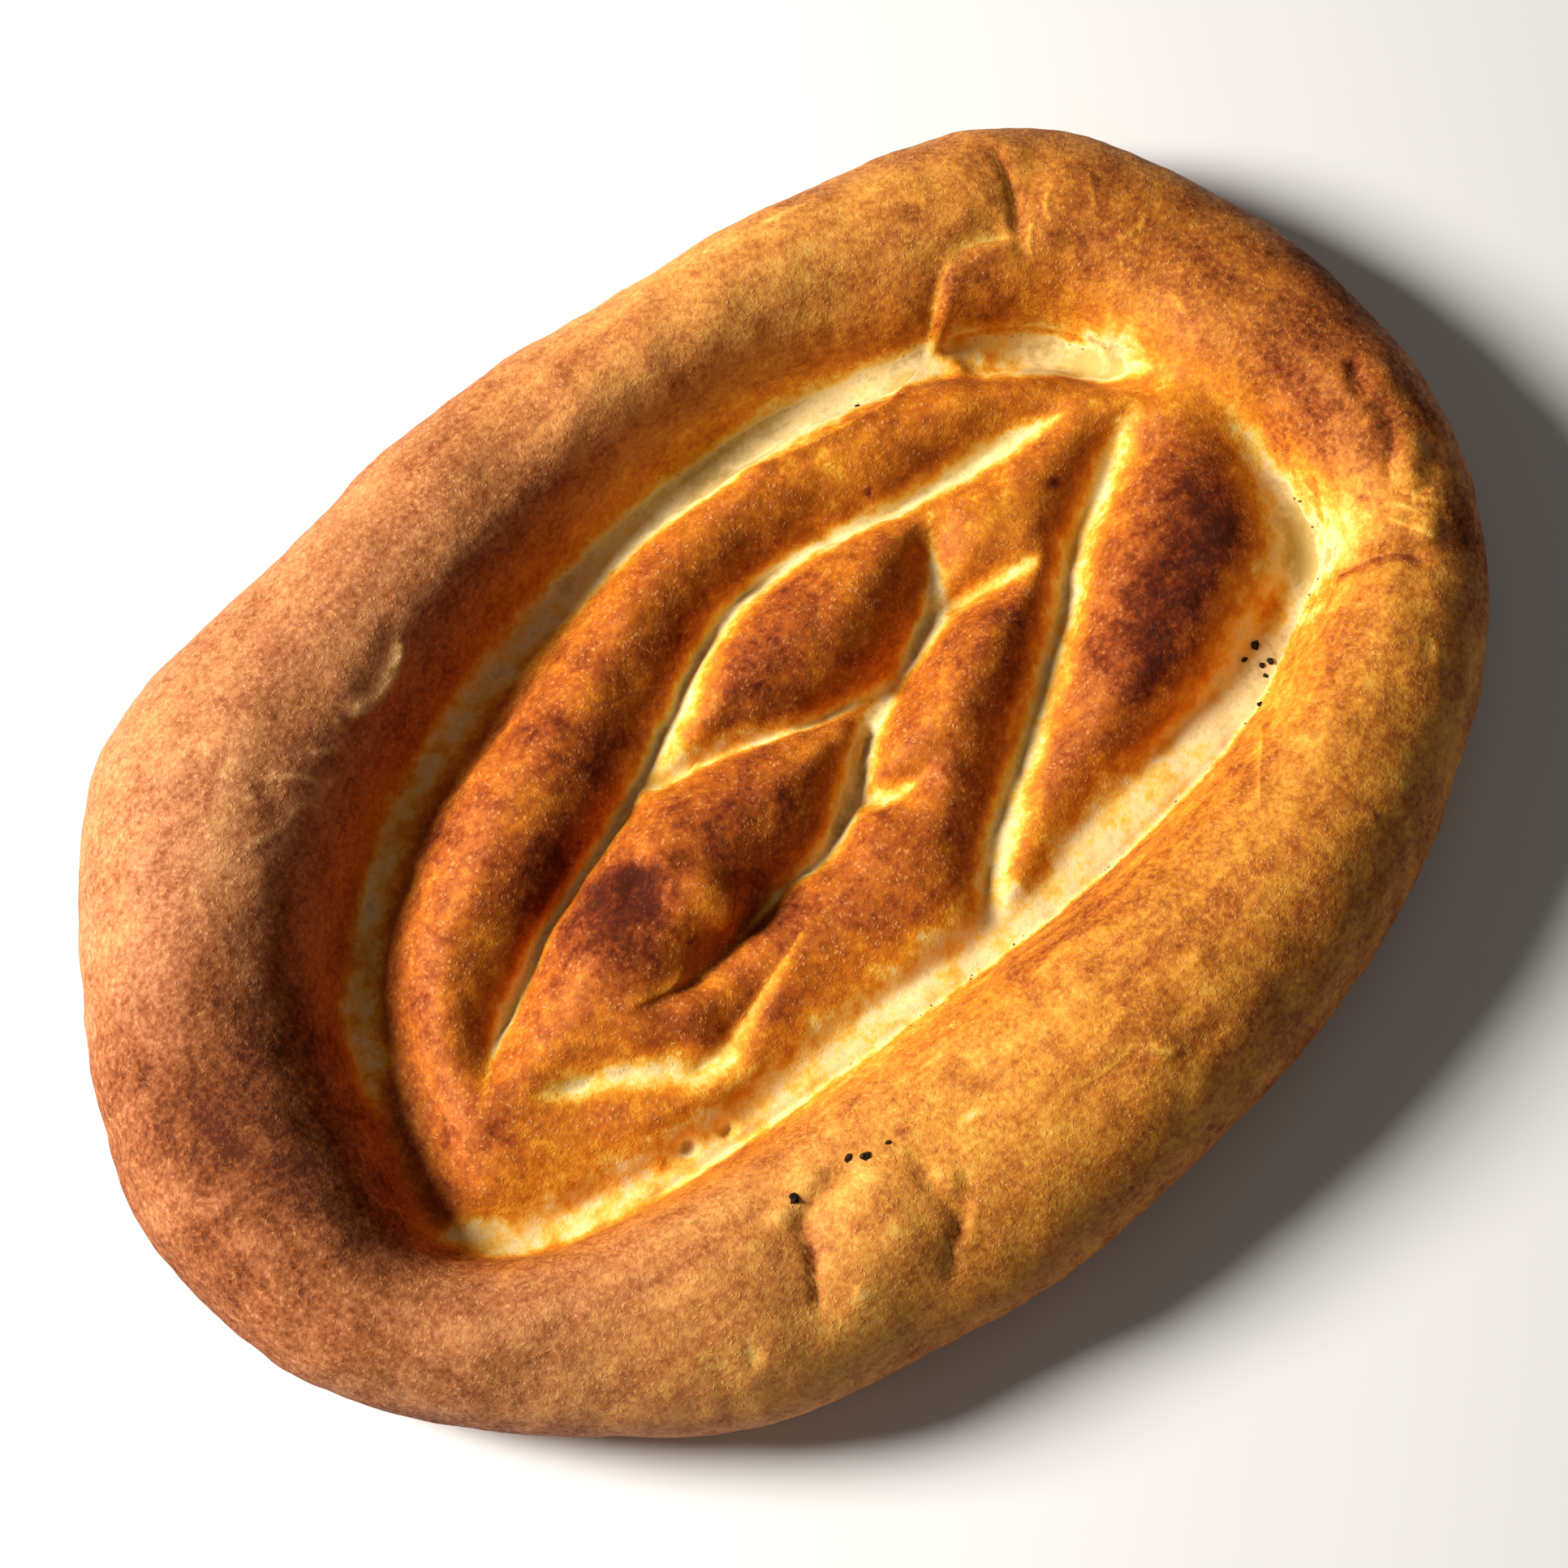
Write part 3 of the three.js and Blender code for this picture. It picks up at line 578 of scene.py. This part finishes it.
# Moves the crust's points and gives the change of bake
def shapeCrust(made):
    mesh = made.data
    points = readVectors(mesh, "co")
    normals = readVectors(mesh, "normal")
    plan = points[:, :2] / mm
    onTop = ease(*loafPiece["topFacing"], normals[:, 2])
    lift, tone = np.zeros(len(points)), np.zeros(len(points))
    edgeAway, edgeLeft, edgeRight = np.zeros((3, len(points)))
    for crease in crustLines.values():
        creaseLift, creaseTone, signedAway, edges = creaseAt({**creasePlain, **crease}, plan)
        lift += creaseLift
        tone += creaseTone
        stronger = np.abs(edges).max(0) > np.maximum(np.abs(edgeLeft), np.abs(edgeRight))
        edgeAway[stronger] = signedAway[stronger]
        edgeLeft[stronger], edgeRight[stronger] = edges[0][stronger], edges[1][stronger]
    for puff in crustPuffs.values():
        puffLift, puffTone = puffAt(puff, plan)
        lift += puffLift
        tone += puffTone
    for cut in cutLines.values():
        lift += cutLiftAt(cut, plan)
    points += normals * (lift * onTop * mm)[:, None]
    writePoints(mesh, points)
    writeAttribute(mesh, "edgeAway", edgeAway)
    writeAttribute(mesh, "edgeLeft", edgeLeft * onTop)
    writeAttribute(mesh, "edgeRight", edgeRight * onTop)
    return tone * onTop


def spotsAt(spots, plan):
    total = np.zeros(len(plan))
    for x, y, spread, change in spots:
        total += change * np.exp(-((plan[:, 0] - x) ** 2 + (plan[:, 1] - y) ** 2) / spread ** 2)
    return total


# Bake of the field: the crowns' own, down to the pale floor along the rim's foot and along the cuts
def fieldBake(crown, plan, footAway, footValues):
    pale, soft, floor, _ = footValues
    field = crown + (floor - crown) * (1 - ease(pale, pale + soft, footAway))
    for cut in cutLines.values():
        line = smoothLine(cut["line"])
        away, side, share = measureLine(line[:, :2], plan, cutGroove["reach"])
        left, right, softLeft, softRight, _ = alongLine(line[:, 2:], share)
        width = np.where(side > 0, left, right)
        soft = np.where(side > 0, softLeft, softRight)
        inCut = crown + (cut["bake"] - crown) * (1 - ease(width, width + soft, away))
        field = np.minimum(field, inCut)
    return field


def bakeCrust(made, tone):
    mesh = made.data
    points = readVectors(mesh, "co") / mm
    normals = readVectors(mesh, "normal")
    plan, height = points[:, :2], points[:, 2]
    onTop = ease(*loafPiece["topFacing"], normals[:, 2])
    spots = spotsAt(crustSpots, plan) * onTop + tone

    foot = smoothLine(loafPiece["footLine"], closed=True)
    inField = insideLine(foot[:, :2], plan) & (normals[:, 2] > 0)
    away, _, share = measureLine(foot[:, :2], plan, loafPiece["footReach"])
    footValues = alongLine(foot[:, 2:], share)
    field = fieldBake(bakeLevels["crown"] + spotsAt(crownSpots, plan), plan, away, footValues)

    turn = np.degrees(np.arctan2(plan[:, 1], plan[:, 0])) % 360

    def byTurn(name):
        return np.interp(turn, *zip(*bakeLevels[name]), period=360)

    rimTop = byTurn("rimTop")
    low, high = bakeLevels["rimHeights"]
    rim = byTurn("rimFoot") + (rimTop - byTurn("rimFoot")) * np.clip((height - low) / (high - low), 0, 1)

    # The outer wall turns browner towards the base
    outward = (normals[:, :2] * plan).sum(1) / np.maximum(np.hypot(*plan.T), 1)
    fromMiddle = np.hypot(*(plan / bakeLevels["outerOval"]).T)
    outer = ~inField & (outward > 0) & (fromMiddle > bakeLevels["outerFrom"])
    top, low = bakeLevels["outerWall"]
    rim = np.where(outer, rimTop + bakeLevels["outerBake"] * ease(-top, -low, -height), rim)
    rim = np.where(normals[:, 2] < loafPiece["baseFacing"], bakeLevels["base"], rim)

    footAway = np.minimum(away, loafPiece["footReach"]) * np.where(inField, -1, 1)
    writeAttribute(mesh, "bakeField", np.clip(field + spots, 0, 1))
    writeAttribute(mesh, "bakeRim", np.clip(rim + spots, bakeLevels["palestRim"], 1))
    writeAttribute(mesh, "footAway", footAway)
    course = 2 * math.pi * share
    radius = np.hypot(*np.diff(foot[:, :2], axis=0).T).sum() / (2 * math.pi)
    writeAttribute(mesh, "courseX", radius * np.cos(course))
    writeAttribute(mesh, "courseY", radius * np.sin(course))
    writeAttribute(mesh, "footEdge", footValues[3])
    writeAttribute(mesh, "pores", byTurn("pores") * (normals[:, 2] > 0))
    # Share of the painted sheen tint, by direction round the loaf
    writeAttribute(mesh, "sheenShare", byTurn("sheenShare") * ease(*bakeLevels["sheenReach"], footAway))


def makeLoaf():
    made = copyNode(loafPiece)
    levels = loafPiece["smoothLevels"]
    applyModifier(made, "SUBSURF", "doughRound", levels=levels, render_levels=levels)
    applyModifier(made, "SMOOTH", "doughEven", factor=0.5, iterations=loafPiece["evenTurns"])
    evenCorner(made.data, *loafPiece["evenCorner"])
    print("loaf rounded:", len(made.data.polygons), "faces")
    pushSwells(made, loafPiece)
    tone = shapeCrust(made)
    bakeCrust(made, tone)
    pickOnly(made)
    bpy.ops.object.shade_smooth()
    print("crust shaped and browned")
    return made


# Charred crumbs lying on the crust: x, y and size across, in millimetres
crumbPiece = {
    "name": "charredCrumbs",
    "slot": "crust",
    "places": [
        (-69.2, -67.9, 2.6), (-55.2, -69.3, 1.8), (-52.7, -71.6, 2.4), (-47.3, -72.7, 1.2),
        (91.8, -47.7, 2), (87.6, -48.5, 1.4), (91.7, -52.5, 1.7), (89.6, -52, 1.3), (88.3, -54.2, 1.2),
        (82.4, -58.1, 1.5), (68.7, 53.8, 1.2),
    ],
    "flatness": 0.55,
    "stretch": ((0.8, 1.35), (0.6, 1)),  # least and most length and width, as shares of the size
    "dropFrom": 0.1,  # height in metres from which the crust is looked for
    "jag": 0.28,  # how far a corner strays, as a share of the size
    "sunk": 0.3,  # share of the height pressed into the crust
    "seed": 5,
}


def makeCrumbs(loaf):
    draw = np.random.default_rng(crumbPiece["seed"])
    crumbs = []
    for x, y, size in crumbPiece["places"]:
        above = Vector((x * mm, y * mm, crumbPiece["dropFrom"]))
        _, spot, normal, _ = loaf.ray_cast(above, Vector((0, 0, -1)))
        bpy.ops.object.select_all(action="DESELECT")
        bpy.ops.mesh.primitive_ico_sphere_add(subdivisions=2, radius=0.5 * size * mm)
        crumb = bpy.context.object
        shape = readVectors(crumb.data, "co")
        shape *= 1 + crumbPiece["jag"] * draw.uniform(-1, 1, (len(shape), 1))
        sides = [draw.uniform(*ends) for ends in crumbPiece["stretch"]]
        shape *= np.array([*sides, crumbPiece["flatness"]])
        writePoints(crumb.data, shape)
        lift = (0.5 - crumbPiece["sunk"]) * crumbPiece["flatness"] * size * mm
        crumb.location = spot + normal * lift
        crumb.rotation_euler = normal.to_track_quat("Z", "Y").to_euler()
        crumb.rotation_euler.rotate_axis("Z", draw.uniform(0, 2 * math.pi))
        crumbs.append(crumb)
    bpy.ops.object.select_all(action="DESELECT")
    for crumb in crumbs:
        crumb.select_set(True)
    bpy.context.view_layer.objects.active = crumbs[0]
    bpy.ops.object.transform_apply(location=True, rotation=True, scale=True)
    bpy.ops.object.join()
    made = bpy.context.object
    made.name = made.data.name = crumbPiece["name"]
    pickOnly(made)
    bpy.ops.object.transform_apply(location=True, rotation=True, scale=True)
    print("crumbs laid:", len(crumbs))
    return made


# Materials

def newMaterial(name):
    material = bpy.data.materials.new(name)
    material.use_nodes = True
    tree = material.node_tree
    return material, tree, tree.nodes["Principled BSDF"]


def addNode(tree, kind, inputs=(), **settings):
    made = tree.nodes.new(kind)
    for key, value in settings.items():
        setattr(made, key, value)
    for key, value in dict(inputs).items():
        if isinstance(value, bpy.types.NodeSocket):
            tree.links.new(value, made.inputs[key])
        else:
            made.inputs[key].default_value = value
    return made


def addMath(tree, operation, first, second=0.0):
    made = addNode(tree, "ShaderNodeMath", {0: first, 1: second}, operation=operation)
    return made.outputs[0]


def addProduct(tree, *factors):
    result = factors[0]
    for factor in factors[1:]:
        result = addMath(tree, "MULTIPLY", result, factor)
    return result


# A value with the product of the factors added to it
def addShare(tree, value, *factors):
    return addMath(tree, "ADD", value, addProduct(tree, *factors))


def addRange(tree, value, low, high, toLow=0.0, toHigh=1.0):
    made = addNode(tree, "ShaderNodeMapRange", {
        "Value": value, "From Min": low, "From Max": high, "To Min": toLow, "To Max": toHigh})
    return made.outputs["Result"]


def addBlend(tree, factor, first, second):
    made = addNode(tree, "ShaderNodeMix", {0: factor, 2: first, 3: second}, data_type="FLOAT")
    return made.outputs[0]


def addMix(tree, factor, first, second):
    made = addNode(tree, "ShaderNodeMix", {0: factor, 6: first, 7: second}, data_type="RGBA")
    return made.outputs[2]


def addRamp(tree, factor, stops):
    made = addNode(tree, "ShaderNodeValToRGB", {"Fac": factor})
    ramp = made.color_ramp
    while len(ramp.elements) < len(stops):
        ramp.elements.new(0.5)
    for element, (place, colour) in zip(ramp.elements, stops):
        element.position = place
        element.color = (*colour, 1)
    return made.outputs["Color"]


# Noise from -1 to 1 at a grain size in metres, shared by the crust and the crumbs
grainNoise = {"roughness": 0.68, "spread": (0.3, 0.7)}


def makeGrainGroup():
    group = bpy.data.node_groups.new("doughGrain", "ShaderNodeTree")
    face = group.interface
    face.new_socket("Vector", in_out="INPUT", socket_type="NodeSocketVector")
    face.new_socket("Size", in_out="INPUT", socket_type="NodeSocketFloat")
    face.new_socket("Detail", in_out="INPUT", socket_type="NodeSocketFloat")
    face.new_socket("Grain", in_out="OUTPUT", socket_type="NodeSocketFloat")
    entry = addNode(group, "NodeGroupInput")
    leave = addNode(group, "NodeGroupOutput")
    scale = addMath(group, "DIVIDE", 1.0, entry.outputs["Size"])
    noise = addNode(group, "ShaderNodeTexNoise", {
        "Vector": entry.outputs["Vector"], "Scale": scale, "Detail": entry.outputs["Detail"],
        "Roughness": grainNoise["roughness"]})
    grain = addRange(group, noise.outputs[0], *grainNoise["spread"], -1.0, 1.0)
    group.links.new(grain, leave.inputs["Grain"])
    return group


grainGroup = makeGrainGroup()


def addGrain(tree, vector, size, detail=2.0):
    made = addNode(tree, "ShaderNodeGroup", node_tree=grainGroup)
    tree.links.new(vector, made.inputs["Vector"])
    made.inputs["Size"].default_value = size * mm
    made.inputs["Detail"].default_value = detail
    return made.outputs["Grain"]


# Round dots about one to a cell, of which the presence keeps a part
def addDots(tree, place, cell, radius, presence):
    cells = addNode(tree, "ShaderNodeTexVoronoi", {"Vector": place, "Scale": 1 / (cell * mm)})
    dot = addRange(tree, cells.outputs["Distance"], *radius)
    return addProduct(tree, dot, addRange(tree, cells.outputs["Color"], *presence))


# Colours by bake, and sizes in millimetres
crustFinish = {
    # The grey dough at the bottom of this ramp also gives the pocket's floor its painted shade
    "field": [  # from raw, grey dough over pale and golden to burnt crust
        (0.0, (0.56, 0.385, 0.11)), (0.07, (0.85, 0.67, 0.32)), (0.16, (0.85, 0.53, 0.1)),
        (0.30, (0.76, 0.31, 0.02)), (0.45, (0.62, 0.187, 0.011)), (0.60, (0.45, 0.114, 0.007)),
        (0.75, (0.28, 0.054, 0.005)), (0.88, (0.13, 0.020, 0.003)), (1.0, (0.06, 0.009, 0.003)),
    ],
    "rim": [  # the rim bakes yellower
        (0.0, (0.55, 0.41, 0.14)), (0.07, (0.80, 0.57, 0.23)), (0.16, (0.82, 0.51, 0.13)),
        (0.30, (0.77, 0.395, 0.055)), (0.45, (0.66, 0.255, 0.028)), (0.60, (0.47, 0.145, 0.016)),
        (0.75, (0.30, 0.074, 0.01)), (0.88, (0.17, 0.035, 0.006)), (1.0, (0.08, 0.015, 0.004)),
    ],
    # Pinker ramp for the rim's lit left side: painted sheen of the key light
    "sheenTint": [  # and pinker on the side away from the pressed pocket
        (0.0, (0.55, 0.41, 0.14)), (0.10, (0.80, 0.56, 0.26)), (0.30, (0.70, 0.38, 0.14)),
        (0.45, (0.59, 0.27, 0.095)), (0.60, (0.44, 0.165, 0.058)), (0.75, (0.29, 0.088, 0.025)),
        (0.88, (0.18, 0.047, 0.012)), (1.0, (0.085, 0.018, 0.006)),
    ],
    "rimReach": (1, 14),  # distance from the foot over which the rim's own colour comes in
    "edgeBlend": 0.25,  # half width of the change from one side of a crust line to the other
    "detail": 5.0,  # of the three noises below
    "patch": (13, 0.09),  # size of a patch and its share of the bake
    "mottle": (5, 0.13),
    "grain": (1.4, 0.15),
    "browned": (0.02, 0.4, 0.2, 1.0),  # bakes between which the unevenness grows, and its shares there
    "fieldGrain": 0.6,  # share of the grain in the field
    "evenRim": 0.5,  # share of patches and mottle where the rim has no pores
    "blend": (0.12, 0.02, 0.2, 0.6, 0.42),  # mottle of the half browned field: share, and bakes of its ends
    "footWobble": 0.3,  # how far the edge of the foot strays
    "streak": (12, 2.4, 0.15, 15, 2),  # pulled dough by the foot: length, width, share and fading distances
    "floorStreak": (22, 3, 0.05, 14),  # the same on the floor inside it, with its reach
    "rimStreak": (20, 7, 0.09),  # long patches of the rim: length, width and share
    "hair": (3.4, 0.09, 0.2),  # fine pale wrinkles: size, width and share
    "hairPatches": (0.0, 0.5),  # values of the patches between which they come in
    # Pale flecks: partly blisters of the crust, partly painted glints of light on the browned tops
    "fleckCell": 1.05,  # distance between pale flecks
    "fleckStray": 2.2,  # how far a fleck's outline strays
    "fleckRadius": (0.46, 0.14),  # in cells, from where a fleck begins to where it is full
    "fleckPresence": (0.35, 0.65),  # draw of a cell, from no fleck to a full one
    "fleckGlintColour": (0.95, 0.48, 0.17),
    "fleckBake": (0.36, 0.6),  # bakes between which the flecks come in
    "fleckBurnt": (0.86, 0.64, 0.05),  # and go again, down to a share
    "fleckGlintShare": 0.42,
    "fleckRim": 0.85,  # of that on the rim
    "poreCell": 1.5,
    "poreRadius": (0.26, 0.14),
    "porePresence": (0.5, 0.6),
    "poreReach": (1.4, 0.9),  # distance from the foot
    "poreColour": (0.09, 0.045, 0.02),
    "roughness": [(0.1, 0.8), (0.5, 0.55), (0.68, 0.62), (0.9, 0.95)],
    "specular": 0.13,
    "bumpGrain": 0.5, "bumpFleck": 1.5,  # shares of the grain and the flecks in the bump
    "bumpHeight": 0.00009,  # in metres
    "bumpStrength": 0.7,
}


def makeCrustMaterial():
    material, tree, shader = newMaterial("crustBaked")
    finish = crustFinish
    place = addNode(tree, "ShaderNodeTexCoord").outputs["Object"]

    def attribute(name):
        return addNode(tree, "ShaderNodeAttribute", attribute_name=name).outputs["Fac"]

    # Bake: the field's inside the foot line, the rim's outside it, and both changed along the crust's edges
    grains = {name: addGrain(tree, place, finish[name][0], finish["detail"])
              for name in ("patch", "mottle", "grain")}
    footAway = addShare(tree, attribute("footAway"), grains["patch"], finish["footWobble"])
    onRim = addRange(tree, addMath(tree, "DIVIDE", footAway, attribute("footEdge")), -1.0, 1.0)
    inField = addRange(tree, onRim, 1.0, 0.0)
    level = addBlend(tree, onRim, attribute("bakeField"), attribute("bakeRim"))
    onLeft = addRange(tree, attribute("edgeAway"), -finish["edgeBlend"], finish["edgeBlend"])
    level = addShare(tree, level, addBlend(tree, onLeft, attribute("edgeRight"), attribute("edgeLeft")))
    browned = addRange(tree, level, *finish["browned"])
    pores = attribute("pores")
    uneven = addBlend(tree, onRim, 1.0, addRange(tree, pores, 0.0, 1.0, finish["evenRim"], 1.0))
    fine = addRange(tree, onRim, 0.0, 1.0, finish["fieldGrain"], 1.0)
    for name, share in (("patch", uneven), ("mottle", uneven), ("grain", fine)):
        level = addShare(tree, level, grains[name], finish[name][1], browned, share)
    share, *fades = finish["blend"]
    half = addProduct(tree, addRange(tree, level, *fades[:2]), addRange(tree, level, *fades[2:]), inField)
    level = addShare(tree, level, grains["mottle"], half, share)

    # Streaks of pulled dough along the foot, long patches and fine pale wrinkles of the rim
    def course(length, width):
        parts = {"X": addMath(tree, "DIVIDE", attribute("courseX"), length),
                 "Y": addMath(tree, "DIVIDE", attribute("courseY"), length),
                 "Z": addMath(tree, "DIVIDE", footAway, width)}
        return addGrain(tree, addNode(tree, "ShaderNodeCombineXYZ", parts).outputs[0], 1 / mm)

    length, width, share, *reach = finish["streak"]
    nearFoot = addRange(tree, footAway, *reach)
    level = addShare(tree, level, course(length, width), share, nearFoot, onRim, pores)
    length, width, share, reach = finish["floorStreak"]
    nearFoot = addProduct(tree, addRange(tree, footAway, -reach, 0.0), inField,
                          addRange(tree, pores, 1.0, 0.0))
    level = addShare(tree, level, course(length, width), share, nearFoot)
    length, width, share = finish["rimStreak"]
    level = addShare(tree, level, course(length, width), share, onRim)
    size, width, share = finish["hair"]
    bend = addMath(tree, "ABSOLUTE", addGrain(tree, place, size, 1.0))
    hair = addProduct(tree, addRange(tree, bend, width, 0.0),
                      addRange(tree, grains["patch"], *finish["hairPatches"]), onRim)
    level = addMath(tree, "SUBTRACT", level, addProduct(tree, hair, share))

    fieldColour, rimColour, sheenColour = (
        addRamp(tree, level, finish[name]) for name in ("field", "rim", "sheenTint"))
    byRim = addRange(tree, attribute("footAway"), *finish["rimReach"])
    colour = addMix(tree, byRim, fieldColour, rimColour)
    # Painted sheen of the key light on the rim's lit side
    colour = addMix(tree, attribute("sheenShare"), colour, sheenColour)

    # Pale flecks of the browned crust, partly blisters and partly painted glints of light, fewer where it
    # is burnt, and dark pores along the foot
    cell = finish["fleckCell"]
    stray = addNode(tree, "ShaderNodeTexNoise", {"Vector": place, "Scale": 1 / (cell * mm)})
    strayed = addNode(tree, "ShaderNodeVectorMath", {
        0: stray.outputs["Color"], 1: [finish["fleckStray"] * mm] * 3, 2: place}, operation="MULTIPLY_ADD")
    fleck = addDots(tree, strayed.outputs[0], cell, finish["fleckRadius"], finish["fleckPresence"])
    share = addProduct(tree, fleck, addRange(tree, level, *finish["fleckBake"]),
                       addRange(tree, level, *finish["fleckBurnt"], finish["fleckGlintShare"]),
                       addRange(tree, onRim, 0.0, 1.0, 1.0, finish["fleckRim"]))
    colour = addMix(tree, share, colour, (*finish["fleckGlintColour"], 1))
    pore = addDots(tree, place, finish["poreCell"], finish["poreRadius"], finish["porePresence"])
    atFoot = addRange(tree, addMath(tree, "ABSOLUTE", attribute("footAway")), *finish["poreReach"])
    colour = addMix(tree, addProduct(tree, pore, atFoot, pores), colour, (*finish["poreColour"], 1))
    tree.links.new(colour, shader.inputs["Base Color"])

    roughStops = [(stop, (rough, rough, rough)) for stop, rough in finish["roughness"]]
    tree.links.new(addRamp(tree, level, roughStops), shader.inputs["Roughness"])
    shader.inputs["Specular IOR Level"].default_value = finish["specular"]
    height = addShare(tree, grains["mottle"], grains["grain"], finish["bumpGrain"])
    height = addProduct(tree, addShare(tree, height, fleck, finish["bumpFleck"]), browned)
    bump = addNode(tree, "ShaderNodeBump", {
        "Height": height, "Strength": finish["bumpStrength"], "Distance": finish["bumpHeight"]})
    tree.links.new(bump.outputs["Normal"], shader.inputs["Normal"])
    return material


charFinish = {
    "colours": [(0.4, (0.016, 0.009, 0.005)), (1.0, (0.07, 0.035, 0.016))],
    "grain": 0.7, "roughness": 0.8, "specular": 0.1,
}


def makeCharMaterial():
    material, tree, shader = newMaterial("charredBits")
    place = addNode(tree, "ShaderNodeTexCoord").outputs["Object"]
    share = addRange(tree, addGrain(tree, place, charFinish["grain"]), -1.0, 1.0)
    tree.links.new(addRamp(tree, share, charFinish["colours"]), shader.inputs["Base Color"])
    shader.inputs["Roughness"].default_value = charFinish["roughness"]
    shader.inputs["Specular IOR Level"].default_value = charFinish["specular"]
    return material


# Studio: pale floor, one soft light from the photo's left, weak light all round
studio = {
    "floorSize": 12.0,
    "floorColour": (0.82, 0.82, 0.81), "floorRoughness": 0.9,
    "keyTurn": 133, "keyRise": 34.5, "keyAway": 1.3, "keySize": 0.46, "keyPower": 38,
    "keyColour": (1.0, 0.965, 0.92),
    "skyColour": (1.0, 0.93, 0.84), "skyStrength": 0.11,
}


def makeStudio():
    bpy.ops.object.select_all(action="DESELECT")
    bpy.ops.mesh.primitive_plane_add(size=studio["floorSize"])
    floor = bpy.context.object
    floor.name = "paleFloor"
    material, _, shader = newMaterial("paleFloor")
    shader.inputs["Base Color"].default_value = (*studio["floorColour"], 1)
    shader.inputs["Roughness"].default_value = studio["floorRoughness"]
    floor.data.materials.append(material)

    turn, rise = math.radians(studio["keyTurn"]), math.radians(studio["keyRise"])
    towards = Vector((math.cos(turn) * math.cos(rise), math.sin(turn) * math.cos(rise), math.sin(rise)))
    bpy.ops.object.light_add(type="AREA", location=towards * studio["keyAway"])
    key = bpy.context.object
    key.name = "windowLight"
    key.rotation_euler = towards.to_track_quat("Z", "Y").to_euler()
    key.data.shape = "DISK"
    key.data.size = studio["keySize"]
    key.data.energy = studio["keyPower"]
    key.data.color = studio["keyColour"]

    world = bpy.data.worlds.new("softRoom")
    world.use_nodes = True
    background = world.node_tree.nodes["Background"]
    background.inputs["Color"].default_value = (*studio["skyColour"], 1)
    background.inputs["Strength"].default_value = studio["skyStrength"]
    bpy.context.scene.world = world
    bpy.context.scene.view_settings.view_transform = "Standard"
    print("studio set")


# Camera at the photo's angle: the focal length is in pixels of its 1932 x 1932 frame
photoView = {
    "azimuth": -44, "elevation": 72, "distance": 0.65,
    "target": (-5.2 * mm, 1.2 * mm, 18 * mm),
    "focalPixels": 3690, "framePixels": 1932, "sensor": 36, "nearest": 0.01,
}


def makeCamera():
    azimuth, elevation = math.radians(photoView["azimuth"]), math.radians(photoView["elevation"])
    back = Vector((math.sin(azimuth) * math.cos(elevation), -math.cos(azimuth) * math.cos(elevation),
                   math.sin(elevation)))
    bpy.ops.object.camera_add(location=Vector(photoView["target"]) + back * photoView["distance"],
                              rotation=back.to_track_quat("Z", "Y").to_euler())
    camera = bpy.context.object
    camera.name = "photoCamera"
    camera.data.sensor_width = photoView["sensor"]
    camera.data.lens = photoView["sensor"] * photoView["focalPixels"] / photoView["framePixels"]
    camera.data.clip_start = photoView["nearest"]
    bpy.context.scene.camera = camera
    print("camera set")


makeStudio()
makeCamera()

loaf = makeLoaf()
loaf.data.materials.append(makeCrustMaterial())
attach(loaf, "root")
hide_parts(loafPiece["node"])

crumbs = makeCrumbs(loaf)
crumbs.data.materials.append(makeCharMaterial())
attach(crumbs, "root")
